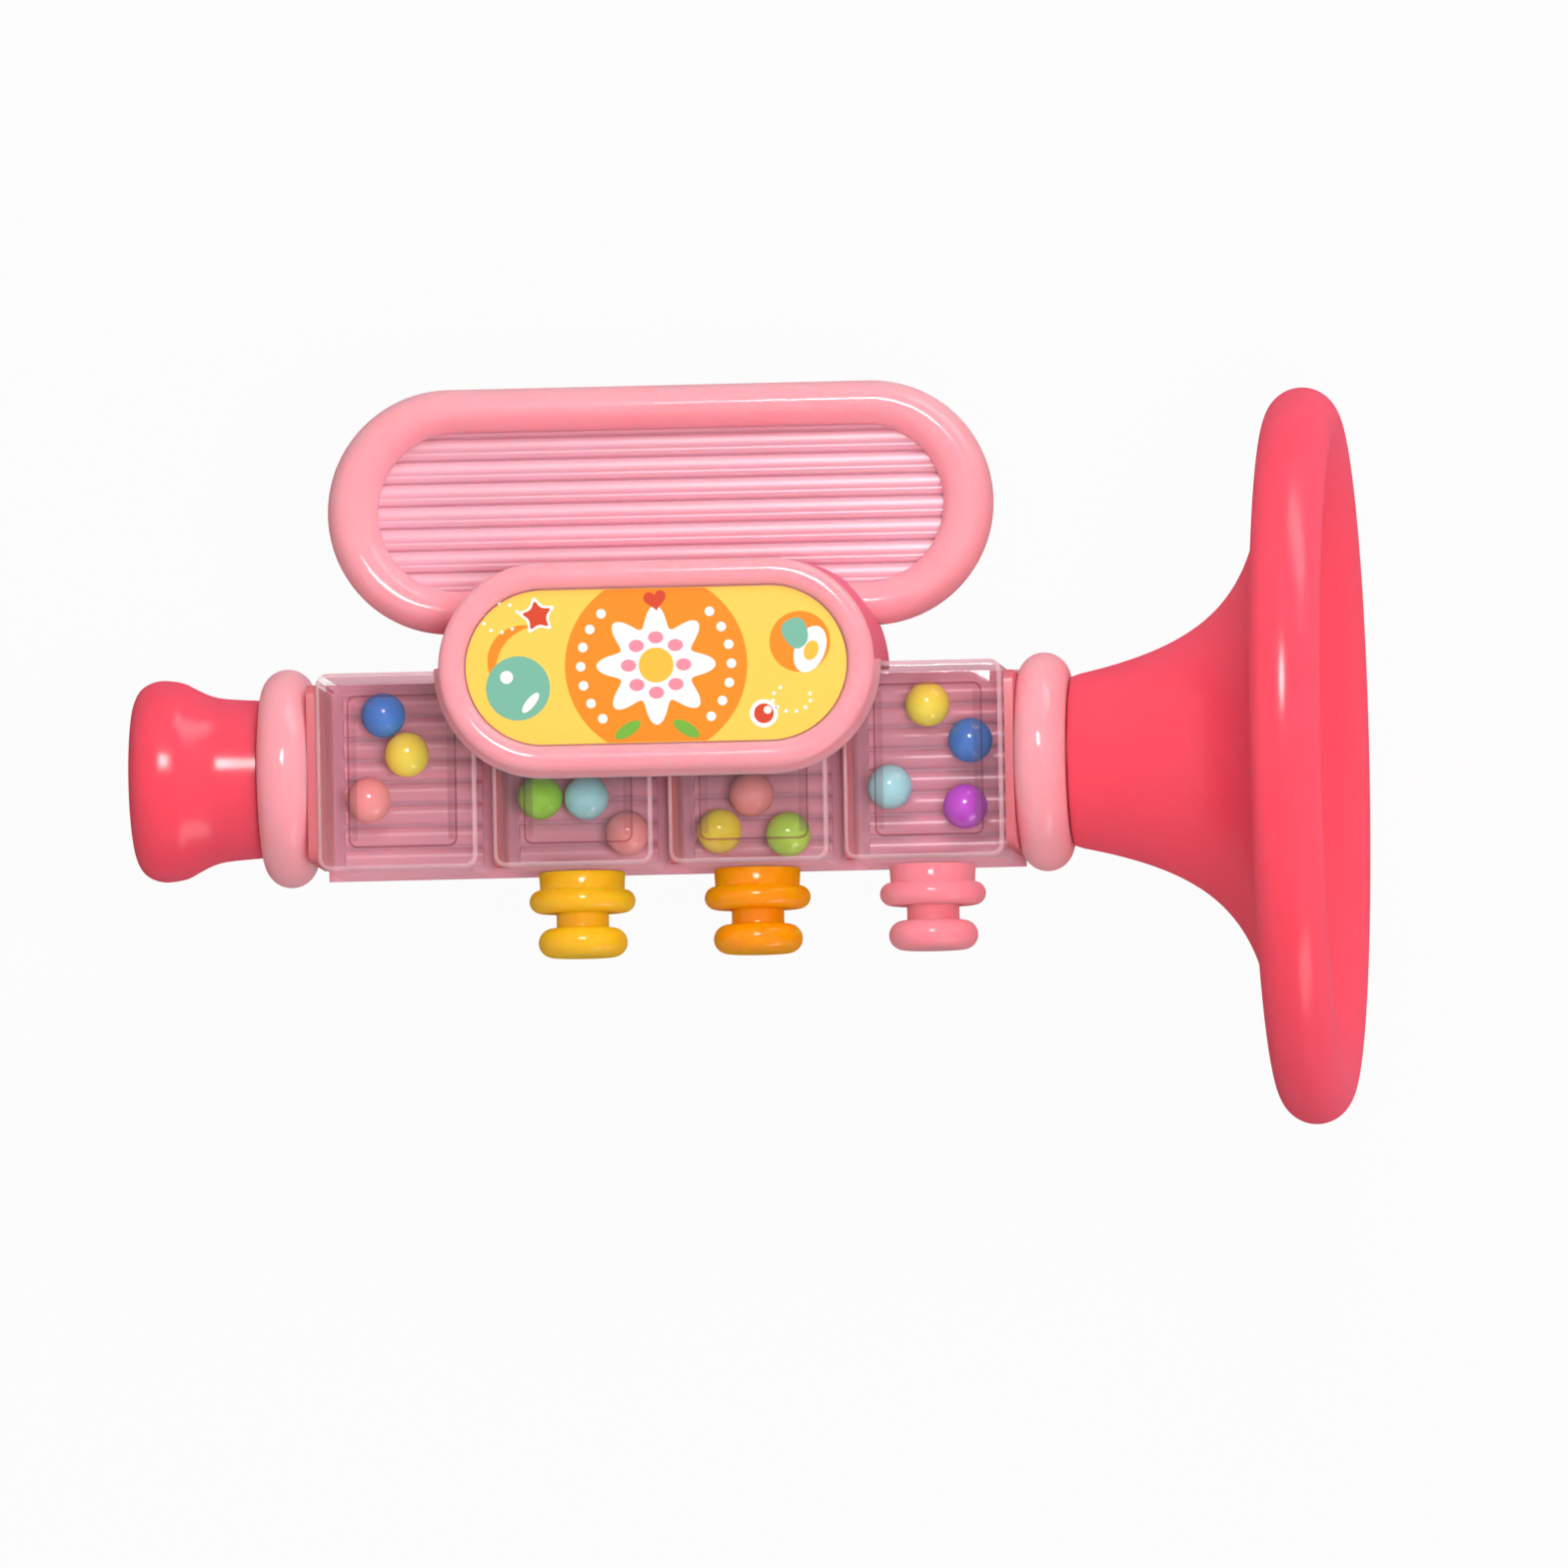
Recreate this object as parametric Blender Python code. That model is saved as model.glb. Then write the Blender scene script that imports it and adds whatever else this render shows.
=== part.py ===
"""Toy trumpet with a row of clear rattle chambers, three spring buttons and a looped top tube.

The bore runs along +X from the mouthpiece to the bell, +Y points at the loop, and +Z points out of
the picture side, so the toy lies on its back. The origin is under the middle of its box, where
the bell's rim touches the table. All lengths are metres.
"""

import itertools
import math

import bmesh
import bpy
from mathutils import Matrix, Vector

# Fits shared by the whole toy
FIT_GAP = 0.0003            # air between two pieces that touch or nest
CUT_OVERRUN = 0.0020        # how far a cutter runs past what it cuts
MERGE_DISTANCE = 0.000001

# Smoothness, as counts and angles
ROUND_STEPS = 36            # facets round the bell, mouthpiece and rings
SMALL_ROUND_STEPS = 16      # facets round the buttons, posts and tubes
BEAD_STEPS = 12
BEAD_RINGS = 6
CORNER_STEPS = 2            # facets in each corner of a clear block
LOOP_TURN_STEPS = 10        # facets in each half turn of a long oval
RIM_STEPS = 5               # facets in a button's rounded flange
RING_STEPS = 8              # facets across a collar ring or the badge frame
SMOOTH_ANGLE = math.radians(32)

# Clear rattle chambers
BLOCK_COUNT = 4
BLOCK_WIDTH = 0.0284        # along the bore
BLOCK_HEIGHT = 0.0350       # from the button side to the loop side
BLOCK_DEPTH = 0.0350        # from the flat back to the picture side
BLOCK_GAP = 0.0028          # air between neighbouring blocks
BLOCK_WALL = 0.0015
BLOCK_CORNER_RADIUS = 0.0022
BLOCK_EDGE_RADIUS = 0.0010

# Back shell that carries everything
BACK_PLATE = 0.0016
BACK_RIB_RISE = 0.0009
PAD_LIFT = 0.00018           # of the grooves between the ribs above the back plate
BACK_RIB_COUNT = 8
PAD_GAP = 0.0004            # round each ribbed pad, inside its clear block
LOCATING_RIB_WIDTH = 0.0018
LOCATING_RIB_RISE = 0.0050
END_PLATE = 0.0012
END_PLATE_INSET = 0.0018    # how far an end plate stays inside the blocks' outline
AIR_BORE_RADIUS = 0.0025
SPIGOT_RADIUS = 0.0097
SPIGOT_WALL = 0.0020
SPIGOT_REACH = 0.0130       # out of the end plate

# Collar rings
RING_RADIUS = 0.01940
RING_THICKNESS = 0.0091

# Necks that slide over the spigots and under the rings
NECK_BORE_GAP = 0.0003
NECK_WALL = 0.0020

# Mouthpiece
MOUTHPIECE_LENGTH = 0.0230
MOUTHPIECE_RADIUS = 0.0179
MOUTHPIECE_CURVE_STEPS = 1
# Distance from the ring as a share of the length, radius as a share of the largest one
MOUTHPIECE_SHARES = (
    (0.00, 0.782), (0.20, 0.799), (0.32, 0.817), (0.41, 0.852), (0.50, 0.908), (0.60, 0.972),
    (0.735, 1.000), (0.83, 0.985), (0.905, 0.936), (0.95, 0.868), (0.98, 0.770), (0.995, 0.640),
    (1.00, 0.540),
)
CUP_MOUTH_RADIUS = 0.0080
CUP_DEPTH = 0.0045
BLOW_HOLE_RADIUS = 0.0032
CUP_WEB = 0.0030            # floor between the cup and the hollow inside

# Reed that makes the note
REED_FLANGE = 0.0024
REED_NOSE_RADIUS = 0.0044
REED_NOSE_LENGTH = 0.0085
REED_BORE_RADIUS = 0.0020
REED_FLAT_HEIGHT = 0.0026   # of the flat under the tongue, above the bore's axis
REED_TONGUE_THICKNESS = 0.0005
REED_TONGUE_WIDTH = 0.0044
REED_TONGUE_LENGTH = 0.0074
REED_SLOT_WIDTH = 0.0022
REED_SLOT_LENGTH = 0.0045

# Bell
BELL_NECK_RADIUS = 0.0152
BELL_FLARE_LENGTH = 0.0395  # from the ring to where the curve would turn straight out
BELL_FLARE_POWER = 0.51
BELL_FLARE_TOP_RADIUS = 0.0527
BELL_FLARE_STEPS = 10
BELL_WALL = 0.0020
BELL_RIM_RADIUS = 0.0653    # outside of the rolled rim
BELL_BEAD_RADIUS = 0.0063   # of the roll itself
BELL_BEAD_STEPS = 9
BELL_RIM_REACH = 0.0423     # from the ring to the middle of the roll

# Loop and its ribbed panel
LOOP_LENGTH = 0.1186
LOOP_HEIGHT = 0.0435
LOOP_GAP = 0.0075           # between the loop and the clear blocks
LOOP_OFFSET = 0.0005        # of the loop's middle towards the mouthpiece
LOOP_TUBE_WIDTH = 0.0076
LOOP_TUBE_DEPTH = 0.0108
LOOP_TUBE_STEPS = 12
PANEL_THICKNESS = 0.0014
PANEL_RIB_RISE = 0.0009
PANEL_RIB_COUNT = 7
RIB_STEPS = 5               # facets across each rib

# Picture badge, the housing behind it and the cover that closes it
BADGE_LENGTH = 0.0775
BADGE_HEIGHT = 0.0372
BADGE_STAND = 0.0046        # of the frame in front of the clear blocks
BADGE_FRAME_WIDTH = 0.0046
BADGE_FRAME_RISE = 0.0019   # of the rounded part of the frame
BADGE_FLOOR = 0.0015
STICKER_THICKNESS = 0.0004
HOUSING_WALL = 0.0020
HOUSING_DRAFT = 0.0010
HOUSING_POCKET = 0.0003     # relief behind the badge floor
COVER_WALL = 0.0020
COVER_EDGE_RADIUS = 0.0020

# Screws that clamp the loop between the housing and the cover
SCREW_SPACING = 0.0400
SCREW_SHANK_RADIUS = 0.0012
SCREW_HEAD_RADIUS = 0.0026
SCREW_HEAD_HEIGHT = 0.0016
SCREW_BITE = 0.0080         # length inside the housing's posts
SCREW_RISE = 0.0041         # of the screw line above the clear blocks
POST_RADIUS = 0.0030
LUG_THICKNESS = 0.0040
LUG_WEB = 0.0018            # left in front of a screw's head
LUG_SETBACK = 0.0002        # of a lug's back from the toy's flat back

# Valve buttons
VALVE_BLOCKS = (2, 3, 4)
VALVE_NAMES = ("yellow", "orange", "pink")
COLLAR_RADIUS = 0.00765
COLLAR_HEIGHT = 0.0034
FLANGE_RADIUS = 0.0094
FLANGE_HEIGHT = 0.0041
COLLAR_BORE_RADIUS = 0.0059
COLLAR_CAP = 0.0015
STEM_RADIUS = 0.00465
STEM_GAP = 0.0003
BUTTON_TRAVEL = 0.0024
TRAVEL_SPARE = 0.0003       # left between knob and flange at the end of a press
FOOT_THICKNESS = 0.0012
FOOT_PIP_RADIUS = 0.0033
FOOT_PIP_RISE = 0.0006
KNOB_RADIUS = 0.0079
KNOB_THICKNESS = 0.0052
KNOB_STEPS = 6
SPRING_RADIUS = 0.0044
SPRING_WIRE_RADIUS = 0.00028
SPRING_TURNS = 2.5
SPRING_STEPS_PER_TURN = 10

# Rattle beads
BEAD_RADIUS = 0.00395
BEAD_SETTLE_ROUNDS = 60      # times that the beads of a chamber are pushed apart
# Block number, colour, then shares of the free half width and half height from the block's middle
BEAD_PLACE_SHARES = (
    (1, "blue", -0.55, 0.97), (1, "yellow", -0.09, 0.40), (1, "salmon", -0.90, -0.30),
    (2, "green", -0.97, -0.31), (2, "light_blue", 0.01, -0.33), (2, "salmon", 0.87, -0.88),
    (3, "salmon", -0.20, -0.33), (3, "mustard", -0.89, -0.88), (3, "lime", 0.56, -0.95),
    (4, "yellow", -0.15, 0.97), (4, "blue", 0.74, 0.41), (4, "light_blue", -0.97, -0.27),
    (4, "purple", 0.61, -0.59),
)

# Places along the bore, from the middle of the row of blocks
BLOCK_PITCH = BLOCK_WIDTH + BLOCK_GAP
ROW_END = (BLOCK_COUNT * BLOCK_PITCH - BLOCK_GAP) / 2
END_PLATE_FACE = ROW_END + FIT_GAP + END_PLATE
RING_MIDDLE = END_PLATE_FACE + FIT_GAP + RING_THICKNESS / 2
RING_FACE = RING_MIDDLE + RING_THICKNESS / 2
MOUTH_END = RING_FACE + FIT_GAP + MOUTHPIECE_LENGTH
BELL_FRONT = RING_FACE + BELL_RIM_REACH + BELL_BEAD_RADIUS
NECK_BORE = SPIGOT_RADIUS + NECK_BORE_GAP
NECK_RADIUS = NECK_BORE + NECK_WALL

# Places across the toy
BODY_TOP = BLOCK_HEIGHT / 2
FRONT_FACE = BLOCK_DEPTH / 2
BACK_FACE = -BLOCK_DEPTH / 2
PLATE_FACE = BACK_FACE + BACK_PLATE
LOOP_MIDDLE = BODY_TOP + LOOP_GAP + LOOP_HEIGHT / 2
LOOP_STRAIGHT = (LOOP_LENGTH - LOOP_HEIGHT) / 2
LOOP_PATH_RADIUS = (LOOP_HEIGHT - LOOP_TUBE_WIDTH) / 2
BADGE_STRAIGHT = (BADGE_LENGTH - BADGE_HEIGHT) / 2
BADGE_RADIUS = BADGE_HEIGHT / 2
HOUSING_SEAT = FRONT_FACE + FIT_GAP
BADGE_FACE = HOUSING_SEAT + BADGE_FLOOR
FRAME_TOP = FRONT_FACE + BADGE_STAND
PARTING_HALF_GAP = FIT_GAP / 2
LUG_FACE = BACK_FACE + LUG_THICKNESS
COVER_BACK = LUG_FACE + FIT_GAP
SCREW_LINE = BODY_TOP + SCREW_RISE
SCREW_HOLE_RADIUS = SCREW_SHANK_RADIUS + FIT_GAP
PANEL_FRONT = -FIT_GAP
PANEL_BACK = PANEL_FRONT - PANEL_RIB_RISE - PANEL_THICKNESS

# The toy's frame: bore axis from the origin under the middle of its box
LOOP_TOP = LOOP_MIDDLE + LOOP_HEIGHT / 2
AXIS_PLACE = Vector((
    (MOUTH_END - BELL_FRONT) / 2,
    (BELL_RIM_RADIUS - max(LOOP_TOP, BELL_RIM_RADIUS)) / 2,
    BELL_RIM_RADIUS,
))


def linear(code):
    """Turn an sRGB hex code into the linear colour that a shader wants."""
    channels = [int(code[i:i + 2], 16) / 255 for i in (1, 3, 5)]
    return [c / 12.92 if c <= 0.04045 else ((c + 0.055) / 1.055) ** 2.4 for c in channels] + [1.0]


def material(name, code, roughness, metallic=0.0, alpha=1.0):
    """A Principled BSDF material with one colour."""
    made = bpy.data.materials.new(name)
    made.use_nodes = True
    shader = made.node_tree.nodes["Principled BSDF"]
    shader.inputs["Base Color"].default_value = linear(code)
    shader.inputs["Roughness"].default_value = roughness
    shader.inputs["Metallic"].default_value = metallic
    shader.inputs["Alpha"].default_value = alpha
    return made


def place(name, bm, finish, location=(0, 0, 0), turn=None):
    """Make a named object from a bmesh; its location is measured from the middle of the bore."""
    if turn:
        bmesh.ops.transform(bm, matrix=turn, verts=bm.verts)
    bmesh.ops.recalc_face_normals(bm, faces=bm.faces)
    mesh = bpy.data.meshes.new(name)
    bm.to_mesh(mesh)
    bm.free()
    mesh.shade_smooth()
    mesh.set_sharp_from_angle(angle=SMOOTH_ANGLE)
    mesh.materials.append(finish)
    made = bpy.data.objects.new(name, mesh)
    made.location = AXIS_PLACE + Vector(location)
    bpy.context.scene.collection.objects.link(made)
    return made


def combine(target, tool, operation):
    """Apply a Boolean with another object to the target, then delete that other object.

    The manifold solver keeps many-faced results closed where the exact one leaves open edges.
    """
    step = target.modifiers.new(operation, "BOOLEAN")
    step.operation = operation
    step.object = tool
    step.solver = "MANIFOLD"
    graph = bpy.context.evaluated_depsgraph_get()
    worked = bpy.data.meshes.new_from_object(target.evaluated_get(graph))
    target.modifiers.remove(step)
    target.data = worked
    worked.name = target.name
    worked.set_sharp_from_angle(angle=SMOOTH_ANGLE)
    bpy.data.objects.remove(tool)


def turned(profile, steps, closed=False):
    """Spin (along, radius) points about X; a closed profile makes a ring or a sleeve."""
    bm = bmesh.new()
    verts = [bm.verts.new((along, radius, 0)) for along, radius in profile]
    edges = [bm.edges.new(pair) for pair in zip(verts, verts[1:])]
    if closed:
        edges.append(bm.edges.new((verts[-1], verts[0])))
    bmesh.ops.spin(bm, geom=verts + edges, cent=(0, 0, 0), axis=(1, 0, 0), angle=math.tau,
                   steps=steps, use_merge=True)
    bmesh.ops.remove_doubles(bm, verts=bm.verts, dist=MERGE_DISTANCE)
    return bm


def skinned(loops, closed=False):
    """Skin a row of matching point loops; the ends are capped unless the row joins itself."""
    bm = bmesh.new()
    rows = [[bm.verts.new(point) for point in loop] for loop in loops]
    pairs = list(zip(rows, rows[1:]))
    if closed:
        pairs.append((rows[-1], rows[0]))
    for near, far in pairs:
        for i in range(len(near)):
            j = (i + 1) % len(near)
            bm.faces.new((near[i], near[j], far[j], far[i]))
    if not closed:
        bm.faces.new(rows[0])
        bm.faces.new(rows[-1])
    return bm


def box(low, high):
    """A plain block between two corners."""
    bm = bmesh.new()
    bmesh.ops.create_cube(bm, size=1)
    low, high = Vector(low), Vector(high)
    bmesh.ops.scale(bm, vec=high - low, verts=bm.verts)
    bmesh.ops.translate(bm, vec=(low + high) / 2, verts=bm.verts)
    return bm


def arc(centre, radius, start, end, steps, squash=1.0):
    """Points on an arc in a plane, from a start to an end angle in degrees."""
    angles = [math.radians(start + (end - start) * i / steps) for i in range(steps + 1)]
    return [(centre[0] + squash * radius * math.cos(a), centre[1] + radius * math.sin(a))
            for a in angles]


def smooth_through(points, steps):
    """Catmull-Rom points through the given ones, with extra steps between each two."""
    ends = [points[0]] + list(points) + [points[-1]]
    result = []
    for a, b, c, d in zip(ends, ends[1:], ends[2:], ends[3:]):
        for i in range(steps):
            t = i / steps
            result.append(tuple(
                (2 * q + (r - p) * t + (2 * p - 5 * q + 4 * r - s) * t ** 2
                 + (3 * q - p - 3 * r + s) * t ** 3) / 2
                for p, q, r, s in zip(a, b, c, d)))
    return result + [tuple(points[-1])]


def rounded_rectangle(width, height, radius, level):
    """Points round a rectangle with round corners, at one height in Z."""
    corners = ((1, 1, 0), (-1, 1, 90), (-1, -1, 180), (1, -1, 270))
    points = []
    for side_x, side_y, start in corners:
        centre = (side_x * (width / 2 - radius), side_y * (height / 2 - radius))
        points += arc(centre, radius, start, start + 90, CORNER_STEPS)
    return [Vector((x, y, level)) for x, y in points]


def long_oval(straight, radius, middle, level):
    """Points round two half circles joined by straight runs, at one height in Z."""
    points = arc((straight, middle), radius, -90, 90, LOOP_TURN_STEPS)
    points += arc((-straight, middle), radius, 90, 270, LOOP_TURN_STEPS)
    return [Vector((x, y, level)) for x, y in points]


def oval_tube(straight, path_radius, middle, half_width, half_depth):
    """A tube of oval section run round a long oval."""
    loops = []
    for step in range(LOOP_TUBE_STEPS):
        angle = math.tau * step / LOOP_TUBE_STEPS
        loops.append(long_oval(straight, path_radius + half_width * math.cos(angle), middle,
                               half_depth * math.sin(angle)))
    return skinned(loops, closed=True)


def post(radius, x, y, low, high, steps=SMALL_ROUND_STEPS):
    """A round post along Z."""
    bm = turned([(low, 0), (low, radius), (high, radius), (high, 0)], steps)
    bmesh.ops.transform(bm, matrix=Matrix.Rotation(-math.pi / 2, 4, "Y"), verts=bm.verts)
    bmesh.ops.translate(bm, vec=(x, y, 0), verts=bm.verts)
    return bm


def ribbed_slab(length, height, count, back, front, rise):
    """A slab along X whose front carries a row of half-round ribs."""
    profile = [(-height / 2, back)]
    pitch = height / count
    for rib in range(count):
        for step in range(RIB_STEPS):
            share = step / RIB_STEPS
            profile.append((pitch * (rib + share) - height / 2,
                            front + rise * math.sin(math.pi * share)))
    profile += [(height / 2, front), (height / 2, back)]
    return skinned([[Vector((x, y, z)) for y, z in profile] for x in (-length / 2, length / 2)])


def block_middle(number):
    """Place of a block's middle along the bore; the blocks count from 1 at the mouthpiece."""
    return (number - (BLOCK_COUNT + 1) / 2) * BLOCK_PITCH


def make_mouthpiece(finish):
    """Flared mouthpiece with a shallow cup, a blow hole and a hollow for the reed."""
    outer = [(-RING_FACE - FIT_GAP - along * MOUTHPIECE_LENGTH, radius * MOUTHPIECE_RADIUS)
             for along, radius in MOUTHPIECE_SHARES]
    cup_floor = CUP_DEPTH - MOUTH_END
    neck_start = -END_PLATE_FACE - FIT_GAP
    profile = [(neck_start, NECK_BORE), (neck_start, NECK_RADIUS),
               (-RING_FACE - FIT_GAP, NECK_RADIUS)]
    profile += smooth_through(outer, MOUTHPIECE_CURVE_STEPS)
    profile += [(-MOUTH_END, CUP_MOUTH_RADIUS), (cup_floor, BLOW_HOLE_RADIUS),
                (cup_floor + CUP_WEB, BLOW_HOLE_RADIUS), (cup_floor + CUP_WEB, NECK_BORE)]
    place("mouthpiece", turned(profile, ROUND_STEPS, closed=True), finish)


def make_reed(holder_finish, tongue_finish):
    """Reed holder against the end of the spigot, with its tongue on a flat over a slot."""
    back = -END_PLATE_FACE - SPIGOT_REACH - FIT_GAP
    flange = back - REED_FLANGE
    tip = flange - REED_NOSE_LENGTH
    shell = [(back, 0), (back, SPIGOT_RADIUS), (flange, SPIGOT_RADIUS),
             (flange, REED_NOSE_RADIUS), (tip, REED_NOSE_RADIUS), (tip, 0)]
    holder = place("reed_holder", turned(shell, SMALL_ROUND_STEPS), holder_finish)
    bore = [(tip + REED_FLANGE, 0), (tip + REED_FLANGE, REED_BORE_RADIUS),
            (back + CUT_OVERRUN, REED_BORE_RADIUS), (back + CUT_OVERRUN, 0)]
    combine(holder, place("reed_bore", turned(bore, SMALL_ROUND_STEPS), holder_finish),
            "DIFFERENCE")
    flat = box((tip - CUT_OVERRUN, -SPIGOT_RADIUS, REED_FLAT_HEIGHT),
               (flange, SPIGOT_RADIUS, SPIGOT_RADIUS))
    combine(holder, place("reed_flat", flat, holder_finish), "DIFFERENCE")
    slot_start = tip + REED_FLANGE + REED_BORE_RADIUS / 2
    slot = box((slot_start, -REED_SLOT_WIDTH / 2, 0),
               (slot_start + REED_SLOT_LENGTH, REED_SLOT_WIDTH / 2, REED_NOSE_RADIUS))
    combine(holder, place("reed_slot", slot, holder_finish), "DIFFERENCE")
    tongue_low = REED_FLAT_HEIGHT + FIT_GAP
    tongue = box((flange - FIT_GAP - REED_TONGUE_LENGTH, -REED_TONGUE_WIDTH / 2, tongue_low),
                 (flange - FIT_GAP, REED_TONGUE_WIDTH / 2, tongue_low + REED_TONGUE_THICKNESS))
    place("reed_tongue", tongue, tongue_finish)


def make_ring(name, middle, finish):
    """Collar ring with a half-round outside over the neck."""
    half = RING_THICKNESS / 2
    bore = NECK_RADIUS + FIT_GAP
    outside = arc((0, RING_RADIUS - half), half, 180, 0, RING_STEPS)
    profile = [(-half, bore)] + outside + [(half, bore)]
    place(name, turned(profile, ROUND_STEPS, closed=True), finish, (middle, 0, 0))


def flare_radius(along):
    """Outside radius of the bell at a distance from the ring."""
    return BELL_NECK_RADIUS * (BELL_FLARE_LENGTH / (BELL_FLARE_LENGTH - along)) ** BELL_FLARE_POWER


def make_bell(finish):
    """Bell whose wall follows a horn curve and ends in a thick rolled rim."""
    end_share = 1 - (BELL_NECK_RADIUS / BELL_FLARE_TOP_RADIUS) ** (1 / BELL_FLARE_POWER)
    outer, inner = [], []
    for step in range(BELL_FLARE_STEPS + 1):
        share = 1 - (1 - step / BELL_FLARE_STEPS) ** 2
        along = end_share * share * BELL_FLARE_LENGTH
        radius = flare_radius(along)
        slope = BELL_FLARE_POWER * radius / (BELL_FLARE_LENGTH - along)
        lean = math.atan(slope)
        outer.append((RING_FACE + FIT_GAP + along, radius))
        inner.append((RING_FACE + FIT_GAP + along + BELL_WALL * math.sin(lean),
                      radius - BELL_WALL * math.cos(lean)))
    bead_centre = (RING_FACE + BELL_RIM_REACH, BELL_RIM_RADIUS - BELL_BEAD_RADIUS)
    roll = arc(bead_centre, BELL_BEAD_RADIUS, 180, -90, BELL_BEAD_STEPS)
    neck_start = END_PLATE_FACE + FIT_GAP
    profile = [(neck_start, NECK_BORE), (neck_start, NECK_RADIUS),
               (RING_FACE + FIT_GAP, NECK_RADIUS)]
    profile += outer + roll + inner[::-1] + [(RING_FACE + FIT_GAP, NECK_BORE)]
    place("bell", turned(profile, ROUND_STEPS, closed=True), finish)


def make_back_shell(finish):
    """Ribbed back plate with end plates, spigots, locating ribs and screw lugs."""
    half_height = BLOCK_HEIGHT / 2
    plate_end = END_PLATE_FACE - END_PLATE / 2
    shell = place("back_shell", box((-plate_end, -half_height, BACK_FACE),
                                    (plate_end, half_height, PLATE_FACE)), finish)
    sink = BACK_PLATE / 2
    pad_length = BLOCK_WIDTH - 2 * (BLOCK_WALL + PAD_GAP)
    pad_height = BLOCK_HEIGHT - 2 * (BLOCK_WALL + PAD_GAP)
    for number in range(1, BLOCK_COUNT + 1):
        pad = ribbed_slab(pad_length, pad_height, BACK_RIB_COUNT, PLATE_FACE - sink,
                          PLATE_FACE + PAD_LIFT, BACK_RIB_RISE)
        combine(shell, place("pad", pad, finish, (block_middle(number), 0, 0)), "UNION")
    for number in range(1, BLOCK_COUNT):
        middle = block_middle(number) + BLOCK_PITCH / 2
        half_rib = LOCATING_RIB_WIDTH / 2
        rib = box((middle - half_rib, END_PLATE_INSET - half_height, PLATE_FACE - sink),
                  (middle + half_rib, half_height - END_PLATE_INSET,
                   PLATE_FACE + LOCATING_RIB_RISE))
        combine(shell, place("locating_rib", rib, finish), "UNION")
    for side in (-1, 1):
        add_shell_end(shell, side, finish)
        add_screw_lug(shell, side, finish)
    bore = turned([(-END_PLATE_FACE - CUT_OVERRUN, 0), (-END_PLATE_FACE - CUT_OVERRUN, AIR_BORE_RADIUS),
                   (END_PLATE_FACE + CUT_OVERRUN, AIR_BORE_RADIUS), (END_PLATE_FACE + CUT_OVERRUN, 0)],
                  SMALL_ROUND_STEPS)
    combine(shell, place("air_bore", bore, finish), "DIFFERENCE")


def add_shell_end(shell, side, finish):
    """Add an end plate and its spigot to the back shell, on the side given by its sign."""
    low, high = BACK_FACE + BACK_PLATE / 2, FRONT_FACE - END_PLATE_INSET
    outline = rounded_rectangle(BLOCK_HEIGHT - 2 * END_PLATE_INSET, high - low,
                                BLOCK_CORNER_RADIUS, 0)
    faces = [side * (END_PLATE_FACE - END_PLATE), side * END_PLATE_FACE]
    plate = skinned([[Vector((x, p.x, p.y + (low + high) / 2)) for p in outline] for x in faces])
    combine(shell, place("end_plate", plate, finish), "UNION")
    root = side * (END_PLATE_FACE - END_PLATE / 2)
    reach = side * (END_PLATE_FACE + SPIGOT_REACH)
    bore = SPIGOT_RADIUS - SPIGOT_WALL
    tube = turned([(root, bore), (root, SPIGOT_RADIUS), (reach, SPIGOT_RADIUS), (reach, bore)],
                  SMALL_ROUND_STEPS, closed=True)
    combine(shell, place("spigot", tube, finish), "UNION")


def add_screw_lug(shell, side, finish):
    """Add a lug above the back plate, with a screw hole and a recess for the screw's head."""
    x = side * SCREW_SPACING / 2
    half = POST_RADIUS + BACK_PLATE
    foot, back = BODY_TOP - BACK_PLATE, BACK_FACE + LUG_SETBACK
    outline = [(x + half, foot), *arc((x, SCREW_LINE), half, 0, 180, RIM_STEPS), (x - half, foot)]
    made = place("lug", skinned([[Vector((px, py, z)) for px, py in outline]
                                 for z in (back, LUG_FACE)]), finish)
    # Below the block's rim only a thin root runs back into the plate
    step = box((x - half - CUT_OVERRUN, foot - CUT_OVERRUN, PLATE_FACE + FIT_GAP / 2),
               (x + half + CUT_OVERRUN, BODY_TOP + FIT_GAP, LUG_FACE + CUT_OVERRUN))
    combine(made, place("lug_step", step, finish), "DIFFERENCE")
    combine(shell, made, "UNION")
    hole = post(SCREW_HOLE_RADIUS, x, SCREW_LINE, BACK_FACE - CUT_OVERRUN, LUG_FACE + CUT_OVERRUN)
    combine(shell, place("screw_hole", hole, finish), "DIFFERENCE")
    recess = post(SCREW_HEAD_RADIUS + FIT_GAP, x, SCREW_LINE, BACK_FACE - CUT_OVERRUN,
                  LUG_FACE - LUG_WEB)
    combine(shell, place("head_recess", recess, finish), "DIFFERENCE")


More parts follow.
